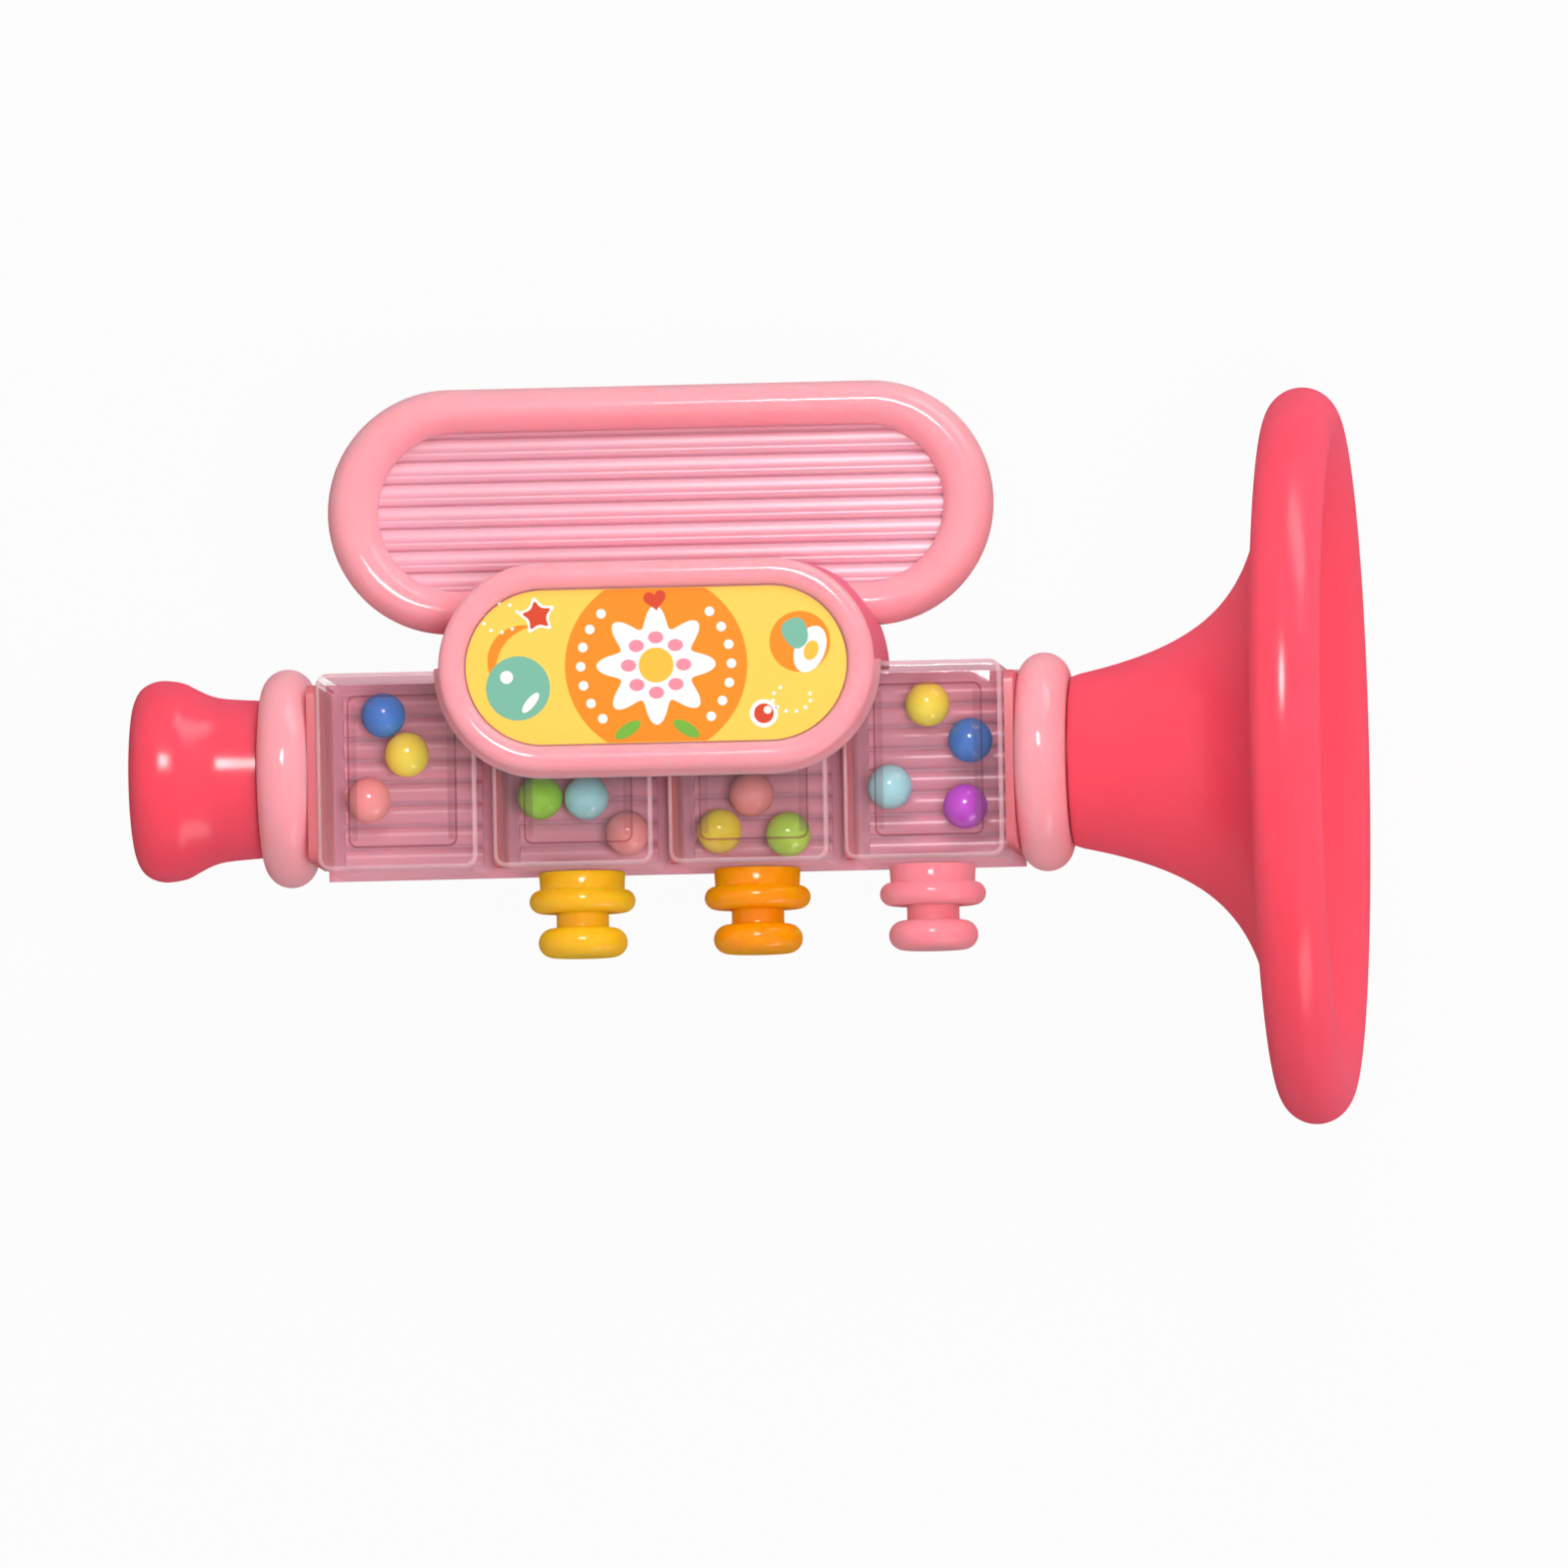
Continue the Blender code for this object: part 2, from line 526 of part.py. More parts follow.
def make_window(number, finish):
    """Clear block, open at the back, with an air hole in each end wall."""
    rim = PLATE_FACE + FIT_GAP
    inner_width = BLOCK_WIDTH - 2 * BLOCK_WALL
    inner_height = BLOCK_HEIGHT - 2 * BLOCK_WALL
    inner_radius = BLOCK_CORNER_RADIUS - BLOCK_WALL
    loops = [rounded_rectangle(inner_width, inner_height, inner_radius, FRONT_FACE - BLOCK_WALL),
             rounded_rectangle(inner_width, inner_height, inner_radius, rim),
             rounded_rectangle(BLOCK_WIDTH, BLOCK_HEIGHT, BLOCK_CORNER_RADIUS, rim)]
    edge_centre = FRONT_FACE - BLOCK_EDGE_RADIUS
    for inset, level in arc((BLOCK_EDGE_RADIUS, edge_centre), BLOCK_EDGE_RADIUS, 180, 90,
                            CORNER_STEPS):
        loops.append(rounded_rectangle(BLOCK_WIDTH - 2 * inset, BLOCK_HEIGHT - 2 * inset,
                                       BLOCK_CORNER_RADIUS - inset, level))
    made = place(f"window_{number}", skinned(loops), finish, (block_middle(number), 0, 0))
    reach = BLOCK_WIDTH / 2 + CUT_OVERRUN
    bore = turned([(-reach, 0), (-reach, AIR_BORE_RADIUS), (reach, AIR_BORE_RADIUS), (reach, 0)],
                  SMALL_ROUND_STEPS)
    combine(made, place("air_bore", bore, finish, (block_middle(number), 0, 0)), "DIFFERENCE")


def make_loop(tube_finish, panel_finish):
    """Looped top tube and the ribbed panel that fills it."""
    middle = (-LOOP_OFFSET, 0, 0)
    place("loop_frame", oval_tube(LOOP_STRAIGHT, LOOP_PATH_RADIUS, LOOP_MIDDLE,
                                  LOOP_TUBE_WIDTH / 2, LOOP_TUBE_DEPTH / 2), tube_finish, middle)
    panel_radius = LOOP_PATH_RADIUS - LOOP_TUBE_WIDTH / 2 - FIT_GAP
    slab = ribbed_slab(LOOP_LENGTH, 2 * panel_radius, PANEL_RIB_COUNT, PANEL_BACK,
                       PANEL_BACK + PANEL_THICKNESS, PANEL_RIB_RISE)
    panel = place("ribbed_panel", slab, panel_finish, (-LOOP_OFFSET, LOOP_MIDDLE, 0))
    outline = skinned([long_oval(LOOP_STRAIGHT, panel_radius, LOOP_MIDDLE, level)
                       for level in (PANEL_BACK - CUT_OVERRUN, CUT_OVERRUN)])
    combine(panel, place("panel_outline", outline, panel_finish, middle), "INTERSECT")


def clear_loop_and_body(shell, finish):
    """Cut the loop's channel and the room of the clear blocks out of a shell that meets both."""
    channel = oval_tube(LOOP_STRAIGHT, LOOP_PATH_RADIUS, LOOP_MIDDLE,
                        LOOP_TUBE_WIDTH / 2 + FIT_GAP, LOOP_TUBE_DEPTH / 2 + FIT_GAP)
    combine(shell, place("channel", channel, finish, (-LOOP_OFFSET, 0, 0)), "DIFFERENCE")
    below = box((-BADGE_LENGTH, -BADGE_HEIGHT, BACK_FACE - CUT_OVERRUN),
                (BADGE_LENGTH, BODY_TOP + FIT_GAP, HOUSING_SEAT))
    combine(shell, place("body_room", below, finish), "DIFFERENCE")


def make_badge_housing(finish):
    """Front shell: a rounded frame round the picture, and a skirt back to the loop's middle."""
    def oval(offset, level):
        return long_oval(BADGE_STRAIGHT, BADGE_RADIUS + offset, BODY_TOP, level)

    ceiling = HOUSING_SEAT + HOUSING_POCKET
    half_frame = BADGE_FRAME_WIDTH / 2
    spring_line = FRAME_TOP - BADGE_FRAME_RISE
    loops = [oval(-HOUSING_WALL, ceiling),
             oval(HOUSING_DRAFT - HOUSING_WALL, PARTING_HALF_GAP),
             oval(HOUSING_DRAFT, PARTING_HALF_GAP)]
    for inset, level in arc((-half_frame, spring_line), BADGE_FRAME_RISE, 0, 180, RING_STEPS,
                            squash=half_frame / BADGE_FRAME_RISE):
        loops.append(oval(inset, level))
    loops.append(oval(-BADGE_FRAME_WIDTH, BADGE_FACE))
    housing = place("badge_housing", skinned(loops), finish)
    for side in (-1, 1):
        stem = post(POST_RADIUS, side * SCREW_SPACING / 2, SCREW_LINE, PARTING_HALF_GAP,
                    ceiling + BADGE_FLOOR / 2)
        combine(housing, place("post", stem, finish), "UNION")
        hole = post(SCREW_HOLE_RADIUS, side * SCREW_SPACING / 2, SCREW_LINE, -CUT_OVERRUN,
                    SCREW_BITE + CUT_OVERRUN)
        combine(housing, place("pilot_hole", hole, finish), "DIFFERENCE")
    clear_loop_and_body(housing, finish)


def make_bridge_cover(finish):
    """Rear shell that closes the housing behind the loop."""
    def oval(offset, level):
        return long_oval(BADGE_STRAIGHT, BADGE_RADIUS + offset, BODY_TOP, level)

    loops = [oval(-COVER_WALL, COVER_BACK + COVER_WALL),
             oval(HOUSING_DRAFT - COVER_WALL, -PARTING_HALF_GAP),
             oval(HOUSING_DRAFT, -PARTING_HALF_GAP)]
    for inset, level in arc((-COVER_EDGE_RADIUS, COVER_BACK + COVER_EDGE_RADIUS),
                            COVER_EDGE_RADIUS, 0, -90, CORNER_STEPS):
        loops.append(oval(inset, level))
    cover = place("bridge_cover", skinned(loops), finish)
    for side in (-1, 1):
        stem = post(POST_RADIUS, side * SCREW_SPACING / 2, SCREW_LINE,
                    COVER_BACK + COVER_WALL / 2, -PARTING_HALF_GAP)
        combine(cover, place("post", stem, finish), "UNION")
        hole = post(SCREW_HOLE_RADIUS, side * SCREW_SPACING / 2, SCREW_LINE,
                    COVER_BACK - CUT_OVERRUN, CUT_OVERRUN)
        combine(cover, place("through_hole", hole, finish), "DIFFERENCE")
    clear_loop_and_body(cover, finish)
    room = skinned([long_oval(LOOP_STRAIGHT, LOOP_PATH_RADIUS, LOOP_MIDDLE, level)
                    for level in (PANEL_BACK - FIT_GAP, CUT_OVERRUN)])
    combine(cover, place("panel_room", room, finish, (-LOOP_OFFSET, 0, 0)), "DIFFERENCE")


def make_sticker(finish):
    """Picture label lying in the recess of the badge."""
    radius = BADGE_RADIUS - BADGE_FRAME_WIDTH - FIT_GAP
    low = BADGE_FACE + FIT_GAP
    place("badge_sticker", skinned([long_oval(BADGE_STRAIGHT, radius, BODY_TOP, level)
                                    for level in (low, low + STICKER_THICKNESS)]), finish)


def make_screws(finish):
    """Two pan-head screws from the back, through the lugs and the cover into the housing."""
    seat = LUG_FACE - LUG_WEB - FIT_GAP
    head = seat - SCREW_HEAD_HEIGHT
    profile = [(head, 0), (head, SCREW_HEAD_RADIUS - SCREW_SHANK_RADIUS / 2),
               (head + SCREW_SHANK_RADIUS / 2, SCREW_HEAD_RADIUS), (seat, SCREW_HEAD_RADIUS),
               (seat, SCREW_SHANK_RADIUS), (SCREW_BITE - SCREW_SHANK_RADIUS, SCREW_SHANK_RADIUS),
               (SCREW_BITE, 0)]
    for number, side in ((1, -1), (2, 1)):
        place(f"housing_screw_{number}", turned(profile, BEAD_STEPS), finish,
              (side * SCREW_SPACING / 2, SCREW_LINE, 0), Matrix.Rotation(-math.pi / 2, 4, "Y"))


def make_valve(number, name, finish, spring_finish):
    """Collar, spring-loaded button and spring, under one block on the side away from the loop."""
    foot_of_valve = (block_middle(number), -BODY_TOP, 0)
    towards_player = Matrix.Rotation(-math.pi / 2, 4, "Z")
    top = COLLAR_HEIGHT + FLANGE_HEIGHT
    roll = FLANGE_HEIGHT / 2
    collar = [(FIT_GAP, COLLAR_BORE_RADIUS), (FIT_GAP, COLLAR_RADIUS),
              (COLLAR_HEIGHT, COLLAR_RADIUS)]
    collar += arc((COLLAR_HEIGHT + roll, FLANGE_RADIUS - roll), roll, 150, 0, RIM_STEPS)
    collar += [(top, STEM_RADIUS + STEM_GAP), (top - COLLAR_CAP, STEM_RADIUS + STEM_GAP),
               (top - COLLAR_CAP, COLLAR_BORE_RADIUS)]
    place(f"valve_collar_{name}", turned(collar, SMALL_ROUND_STEPS, closed=True), finish,
          foot_of_valve, towards_player)

    foot_top = top - COLLAR_CAP - FIT_GAP
    foot_low = foot_top - FOOT_THICKNESS
    knob_low = top + BUTTON_TRAVEL + TRAVEL_SPARE
    knob_roll = KNOB_THICKNESS / 2
    button = [(foot_low - FOOT_PIP_RISE, 0), (foot_low - FOOT_PIP_RISE, FOOT_PIP_RADIUS),
              (foot_low, FOOT_PIP_RADIUS), (foot_low, COLLAR_BORE_RADIUS - FIT_GAP),
              (foot_top, COLLAR_BORE_RADIUS - FIT_GAP), (foot_top, STEM_RADIUS),
              (knob_low, STEM_RADIUS)]
    button += arc((knob_low + knob_roll, KNOB_RADIUS - knob_roll), knob_roll, 180, 0, KNOB_STEPS)
    button += [(knob_low + KNOB_THICKNESS, 0)]
    place(f"valve_button_{name}", turned(button, SMALL_ROUND_STEPS), finish, foot_of_valve,
          towards_player)

    low = FIT_GAP + SPRING_WIRE_RADIUS
    high = foot_low - FIT_GAP - SPRING_WIRE_RADIUS
    steps = round(SPRING_TURNS * SPRING_STEPS_PER_TURN)
    wire = bpy.data.curves.new(f"valve_spring_{name}", "CURVE")
    wire.dimensions = "3D"
    wire.bevel_depth = SPRING_WIRE_RADIUS
    wire.bevel_resolution = 1
    wire.use_fill_caps = True
    spline = wire.splines.new("POLY")
    spline.points.add(steps)
    for step in range(steps + 1):
        angle = math.tau * step / SPRING_STEPS_PER_TURN
        along = low + (high - low) * step / steps
        spline.points[step].co = (SPRING_RADIUS * math.cos(angle), -along,
                                  SPRING_RADIUS * math.sin(angle), 1)
    wire.materials.append(spring_finish)
    spring = bpy.data.objects.new(f"valve_spring_{name}", wire)
    spring.location = AXIS_PLACE + Vector(foot_of_valve)
    bpy.context.scene.collection.objects.link(spring)


def settled_places(shares):
    """Bead middles in one chamber: shares of its free room, pushed apart until none touch."""
    room = Vector((BLOCK_WIDTH, BLOCK_HEIGHT)) / 2
    room -= Vector((1, 1)) * (BLOCK_WALL + FIT_GAP + BEAD_RADIUS)
    places = [Vector((share_x * room.x, share_y * room.y)) for share_x, share_y in shares]
    spacing = 2 * BEAD_RADIUS + FIT_GAP
    for _ in range(BEAD_SETTLE_ROUNDS):
        for one, other in itertools.combinations(places, 2):
            apart = other - one
            short = max(spacing - apart.length, 0)
            one -= apart.normalized() * short / 2
            other += apart.normalized() * short / 2
        for spot in places:
            spot.x = max(-room.x, min(room.x, spot.x))
            spot.y = max(-room.y, min(room.y, spot.y))
    return places


def make_beads(finishes):
    """Loose beads lying on the ribs at the back of their blocks."""
    level = PLATE_FACE + PAD_LIFT + BACK_RIB_RISE + FIT_GAP + BEAD_RADIUS
    for number in range(1, BLOCK_COUNT + 1):
        beads = [row for row in BEAD_PLACE_SHARES if row[0] == number]
        places = settled_places([row[2:] for row in beads])
        for (_, colour, _, _), spot in zip(beads, places):
            bm = bmesh.new()
            bmesh.ops.create_uvsphere(bm, u_segments=BEAD_STEPS, v_segments=BEAD_RINGS,
                                      radius=BEAD_RADIUS)
            place(f"bead_{number}_{colour}", bm, finishes[colour],
                  (block_middle(number) + spot.x, spot.y, level))


def main():
    """Clear the scene and build every piece."""
    for old in list(bpy.data.objects):
        bpy.data.objects.remove(old)

    coral = material("coral ABS", "#F84F6C", 0.25)
    pink = material("pink ABS", "#FF9DB0", 0.25)
    panel_pink = material("ribbed pink ABS", "#F0A0B8", 0.30)
    clear = material("clear polystyrene", "#F2E4EA", 0.05, alpha=0.30)
    yellow = material("yellow ABS", "#FFC314", 0.25)
    orange = material("orange ABS", "#FF9600", 0.25)
    rose = material("rose ABS", "#FF8CA0", 0.25)
    paper = material("printed label", "#FFE069", 0.45)
    steel = material("spring steel", "#C8CCD2", 0.30, metallic=1.0)
    cream = material("reed plastic", "#F3EEE2", 0.45)
    beads = {colour: material(f"{colour} bead", code, 0.20) for colour, code in (
        ("blue", "#2D6EC8"), ("yellow", "#FAE13C"), ("salmon", "#EB8787"), ("green", "#6EBE32"),
        ("light_blue", "#87CDE1"), ("mustard", "#DCAF32"), ("lime", "#96F03C"),
        ("purple", "#B93CDC"))}

    make_mouthpiece(coral)
    make_reed(cream, steel)
    make_ring("mouthpiece_ring", -RING_MIDDLE, pink)
    make_ring("bell_ring", RING_MIDDLE, pink)
    make_bell(coral)
    make_back_shell(panel_pink)
    for number in range(1, BLOCK_COUNT + 1):
        make_window(number, clear)
    make_loop(pink, panel_pink)
    make_badge_housing(pink)
    make_bridge_cover(pink)
    make_sticker(paper)
    make_screws(steel)
    for number, name, finish in zip(VALVE_BLOCKS, VALVE_NAMES, (yellow, orange, rose)):
        make_valve(number, name, finish, steel)
    make_beads(beads)


main()
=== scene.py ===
"""Toy trumpet in glossy ABS with clear rattle chambers: looks, floor, light and camera.

The bore runs along +X to the bell, +Y points at the looped tube, +Z is the picture side.
Lengths are metres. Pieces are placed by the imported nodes' boxes, and the sizes of their detail
are written in millimetres, as a number * MM.
"""
import math

import bmesh
import bpy
import numpy as np
from mathutils import Matrix, Vector


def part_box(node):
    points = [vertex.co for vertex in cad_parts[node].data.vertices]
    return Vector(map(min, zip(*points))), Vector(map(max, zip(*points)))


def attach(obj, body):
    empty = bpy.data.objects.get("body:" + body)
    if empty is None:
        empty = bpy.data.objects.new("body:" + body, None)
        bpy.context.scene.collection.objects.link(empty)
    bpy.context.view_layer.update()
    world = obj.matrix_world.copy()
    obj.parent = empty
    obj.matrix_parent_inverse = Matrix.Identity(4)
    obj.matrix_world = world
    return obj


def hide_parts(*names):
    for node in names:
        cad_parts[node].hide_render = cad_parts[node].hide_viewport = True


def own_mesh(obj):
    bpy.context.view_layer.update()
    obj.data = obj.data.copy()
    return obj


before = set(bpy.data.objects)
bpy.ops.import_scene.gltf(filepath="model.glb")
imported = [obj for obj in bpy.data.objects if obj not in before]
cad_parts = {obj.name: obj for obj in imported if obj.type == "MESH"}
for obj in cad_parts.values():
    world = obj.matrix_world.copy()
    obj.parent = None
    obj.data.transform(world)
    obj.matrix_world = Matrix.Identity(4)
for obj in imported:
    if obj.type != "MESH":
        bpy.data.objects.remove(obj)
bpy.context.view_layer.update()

TRUMPET = "trumpet"
MM = 0.001


def span(node):
    """Lowest and highest corner of a node as numpy arrays."""
    low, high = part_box(node)
    return np.array(low), np.array(high)


def middle_of(node):
    """Middle of a node's box."""
    low, high = span(node)
    return (low + high) / 2


# Places read from the frame
AXIS = middle_of("bell")                                    # its Y and Z are the bore's
ROW_MIDDLE = (middle_of("window_1")[0] + middle_of("window_4")[0]) / 2
BLOCK_LOW, BLOCK_HIGH = span("window_1")
BLOCK_TOP = BLOCK_HIGH[1]
FRONT_FACE = BLOCK_HIGH[2]
BACK_FACE = span("back_shell")[0][2]
FIT_GAP = 0.3 * MM


# Colour and node helpers

def linear(code):
    """Linear colour of an sRGB hex code."""
    channels = [int(code[i:i + 2], 16) / 255 for i in (1, 3, 5)]
    return (*[c / 12.92 if c <= 0.04045 else ((c + 0.055) / 1.055) ** 2.4 for c in channels], 1.0)


def node(tree, kind, links=None, **settings):
    """Add a node; settings are its properties or input values, links go from other sockets."""
    made = tree.nodes.new(kind)
    for key, value in settings.items():
        if hasattr(made, key) and key not in made.inputs:
            setattr(made, key, value)
        else:
            made.inputs[key.replace("_", " ")].default_value = value
    for key, socket in (links or {}).items():
        tree.links.new(socket, made.inputs[key])
    return made


def new_material(name):
    """An empty node material: its tree and its output node."""
    made = bpy.data.materials.new(name)
    made.use_nodes = True
    tree = made.node_tree
    tree.nodes.clear()
    return made, tree, tree.nodes.new("ShaderNodeOutputMaterial")


def moulded_plastic(name, code, deep_code, roughness=0.12, waxiness=1.0, depth_mm=3.0,
                    mottle_mm=9.0, index=1.34, mirror=0.028):
    """Injection-moulded glossy ABS: even colour with faint flow mottling, a soft body that lets
    red light travel some millimetres, and a shine that a very fine orange peel breaks up and
    that stays thin at the edges, as on a lightly satined mould."""
    made, tree, out = new_material(name)
    place = node(tree, "ShaderNodeTexCoord")
    cloud = node(tree, "ShaderNodeTexNoise", {"Vector": place.outputs["Object"]},
                 Scale=1 / (mottle_mm * MM), Detail=3.0, Roughness=0.55)
    colour = node(tree, "ShaderNodeMix", {"Factor": cloud.outputs["Fac"]}, data_type="RGBA")
    colour.inputs[6].default_value = linear(code)
    colour.inputs[7].default_value = linear(deep_code)
    gloss = node(tree, "ShaderNodeMapRange", {"Value": cloud.outputs["Fac"]})
    gloss.inputs["To Min"].default_value = roughness - 0.03
    gloss.inputs["To Max"].default_value = roughness + 0.03
    peel = node(tree, "ShaderNodeTexNoise", {"Vector": place.outputs["Object"]},
                Scale=1 / (1.6 * MM), Detail=2.0)
    bump = node(tree, "ShaderNodeBump", {"Height": peel.outputs["Fac"]}, Strength=0.05,
                Distance=0.05 * MM)
    body = node(tree, "ShaderNodeBsdfPrincipled",
                {"Base Color": colour.outputs[2], "Normal": bump.outputs["Normal"]})
    body.inputs["Specular IOR Level"].default_value = 0.0
    body.inputs["Subsurface Weight"].default_value = waxiness
    body.inputs["Subsurface Radius"].default_value = (1.0, 0.08, 0.07)
    body.inputs["Subsurface Scale"].default_value = depth_mm * MM
    shine = node(tree, "ShaderNodeBsdfGlossy", {"Roughness": gloss.outputs["Result"],
                                                "Normal": bump.outputs["Normal"]})
    fresnel = node(tree, "ShaderNodeFresnel", {"Normal": bump.outputs["Normal"]}, IOR=index)
    share = node(tree, "ShaderNodeMath", {0: fresnel.outputs[0]}, operation="MINIMUM")
    share.inputs[1].default_value = mirror
    mix = node(tree, "ShaderNodeMixShader", {0: share.outputs[0], 1: body.outputs[0],
                                             2: shine.outputs[0]})
    tree.links.new(mix.outputs["Shader"], out.inputs["Surface"])
    return made


def but_not_shadows(tree, share):
    """A share that is nought for shadow rays, so that clear walls cast no shade."""
    path = node(tree, "ShaderNodeLightPath")
    rest = node(tree, "ShaderNodeMath", {0: share, 1: path.outputs["Is Shadow Ray"]},
                operation="SUBTRACT", use_clamp=True)
    return rest.outputs[0]


def clear_plastic(name, cast, mirror_low, mirror_high):
    """Clear polystyrene: each polished face lets most light through, with a faint grey cast, and
    mirrors more the flatter it is seen, so that the walls seen edge on show streaks."""
    made, tree, out = new_material(name)
    place = node(tree, "ShaderNodeTexCoord")
    wave = node(tree, "ShaderNodeTexNoise", {"Vector": place.outputs["Object"]},
                Scale=1 / (14 * MM), Detail=1.0)
    bump = node(tree, "ShaderNodeBump", {"Height": wave.outputs["Fac"]}, Strength=0.10,
                Distance=0.10 * MM)
    through = node(tree, "ShaderNodeBsdfTransparent")
    through.inputs["Color"].default_value = linear(cast)
    shine = node(tree, "ShaderNodeBsdfGlossy", {"Normal": bump.outputs["Normal"]}, Roughness=0.04)
    facing = node(tree, "ShaderNodeLayerWeight", {"Normal": bump.outputs["Normal"]}, Blend=0.5)
    curve = node(tree, "ShaderNodeMath", {0: facing.outputs["Facing"]}, operation="POWER")
    curve.inputs[1].default_value = 4.0
    share = node(tree, "ShaderNodeMapRange", {"Value": curve.outputs[0]})
    share.inputs["To Min"].default_value = mirror_low
    share.inputs["To Max"].default_value = mirror_high
    mix = node(tree, "ShaderNodeMixShader", {0: but_not_shadows(tree, share.outputs["Result"]),
                                             1: through.outputs[0], 2: shine.outputs[0]})
    tree.links.new(mix.outputs["Shader"], out.inputs["Surface"])
    return made


def painted_pale_wall(name, cast, painted_pale_code, low, high):
    """Clear wall with painted light: face on it is nearly clear, and the more it is seen along its
    length, the more it shows a pale diffuse share. This is a painted highlight that stands for the
    light the wall reflects and carries along itself."""
    made, tree, out = new_material(name)
    place = node(tree, "ShaderNodeTexCoord")
    cloud = node(tree, "ShaderNodeTexNoise", {"Vector": place.outputs["Object"]},
                 Scale=1 / (6 * MM), Detail=2.0)
    unevenness = node(tree, "ShaderNodeMapRange", {"Value": cloud.outputs["Fac"]})
    unevenness.inputs["To Min"].default_value = 0.7
    unevenness.inputs["To Max"].default_value = 1.3
    slant = node(tree, "ShaderNodeLayerWeight", {}, Blend=0.5)
    share = node(tree, "ShaderNodeMapRange", {"Value": slant.outputs["Facing"]})
    share.inputs["To Min"].default_value = low
    share.inputs["To Max"].default_value = high
    painted_pale_share = node(tree, "ShaderNodeMath", {0: share.outputs["Result"],
                                         1: unevenness.outputs["Result"]}, operation="MULTIPLY")
    through = node(tree, "ShaderNodeBsdfTransparent")
    through.inputs["Color"].default_value = linear(cast)
    # painted highlight: a pale diffuse share in place of reflected and carried light
    pale = node(tree, "ShaderNodeBsdfDiffuse")
    pale.inputs["Color"].default_value = linear(painted_pale_code)
    mix = node(tree, "ShaderNodeMixShader", {0: but_not_shadows(tree, painted_pale_share.outputs[0]),
                                             1: through.outputs[0], 2: pale.outputs[0]})
    tree.links.new(mix.outputs["Shader"], out.inputs["Surface"])
    return made


def spring_steel():
    """Drawn steel wire and sheet: bright, with fine streaks from the die."""
    made, tree, out = new_material("drawn spring steel")
    place = node(tree, "ShaderNodeTexCoord")
    streak = node(tree, "ShaderNodeTexNoise", {"Vector": place.outputs["Object"]},
                  Scale=1 / (0.6 * MM), Detail=2.0)
    gloss = node(tree, "ShaderNodeMapRange", {"Value": streak.outputs["Fac"]})
    gloss.inputs["To Min"].default_value = 0.22
    gloss.inputs["To Max"].default_value = 0.40
    shader = node(tree, "ShaderNodeBsdfPrincipled", {"Roughness": gloss.outputs["Result"]},
                  Metallic=1.0)
    shader.inputs["Base Color"].default_value = linear("#C6C9CE")
    tree.links.new(shader.outputs["BSDF"], out.inputs["Surface"])
    return made


def printed_film(name, code, grain=0.02):
    """Offset-printed label film: flat ink with a fine paper tooth under a satin lacquer."""
    made, tree, out = new_material(name)
    place = node(tree, "ShaderNodeTexCoord")
    tooth = node(tree, "ShaderNodeTexNoise", {"Vector": place.outputs["Object"]},
                 Scale=1 / (0.8 * MM), Detail=3.0)
    shade = node(tree, "ShaderNodeHueSaturation", {})
    shade.inputs["Color"].default_value = linear(code)
    level = node(tree, "ShaderNodeMapRange", {"Value": tooth.outputs["Fac"]})
    level.inputs["To Min"].default_value = 1 - grain
    level.inputs["To Max"].default_value = 1 + grain
    tree.links.new(level.outputs["Result"], shade.inputs["Value"])
    shader = node(tree, "ShaderNodeBsdfPrincipled", {"Base Color": shade.outputs["Color"]},
                  Roughness=0.38, IOR=1.25)
    tree.links.new(shader.outputs["BSDF"], out.inputs["Surface"])
    return made


# Surface helpers: a surface is a grid of points, rows by columns

def arc(centre, radius, start, end, steps, squash=1.0):
    """Points on an arc in a plane: centre + radius * (squash * cos, sin), angles in degrees."""
    angle = np.radians(np.linspace(start, end, steps + 1))
    return np.stack([centre[0] + squash * radius * np.cos(angle),
                     centre[1] + radius * np.sin(angle)], axis=1)


def fillet(points, radius, steps=5):
    """Round every inner corner of an open polyline with a quadratic curve of about a radius."""
    points = [np.array(p, float) for p in points]
    result = [points[0]]
    for before, corner, after in zip(points, points[1:], points[2:]):
        reach_in = min(radius, np.linalg.norm(before - corner) * 0.45)
        reach_out = min(radius, np.linalg.norm(after - corner) * 0.45)
        start = corner + (before - corner) / np.linalg.norm(before - corner) * reach_in
        end = corner + (after - corner) / np.linalg.norm(after - corner) * reach_out
        for t in np.linspace(0, 1, steps):
            result.append((1 - t) ** 2 * start + 2 * t * (1 - t) * corner + t * t * end)
    result.append(points[-1])
    return np.array(result)


def spun(profile, origin, axis="X", steps=144):
    """Grid of a turned surface: origin + along * axis + radius * (cos, sin) across it."""
    profile = np.asarray(profile, float)
    theta = np.linspace(0, math.tau, steps, endpoint=False)
    frames = {"X": ((1, 0, 0), (0, 1, 0), (0, 0, 1)), "-Y": ((0, -1, 0), (1, 0, 0), (0, 0, 1)),
              "Z": ((0, 0, 1), (1, 0, 0), (0, 1, 0))}
    ahead, side, up = (np.array(v, float) for v in frames[axis])
    ring = np.cos(theta)[:, None] * side + np.sin(theta)[:, None] * up
    return (np.array(origin, float) + profile[:, 0, None, None] * ahead
            + profile[:, 1, None, None] * ring)


def long_oval(straight, radius, middle, turn_angles):
    """Points round two half circles joined by straight runs, in the XY plane about a middle."""
    turn = np.radians(turn_angles)
    right = np.stack([straight + radius * np.cos(turn), radius * np.sin(turn)], axis=1)
    left = np.stack([-straight - radius * np.cos(turn[::-1]), radius * np.sin(turn[::-1])], axis=1)
    return np.concatenate([right, left]) + np.array(middle[:2], float)


def lifted(outline, level):
    """Flat points raised to a level, one for all or one each."""
    return np.column_stack([outline, np.broadcast_to(level, len(outline))])


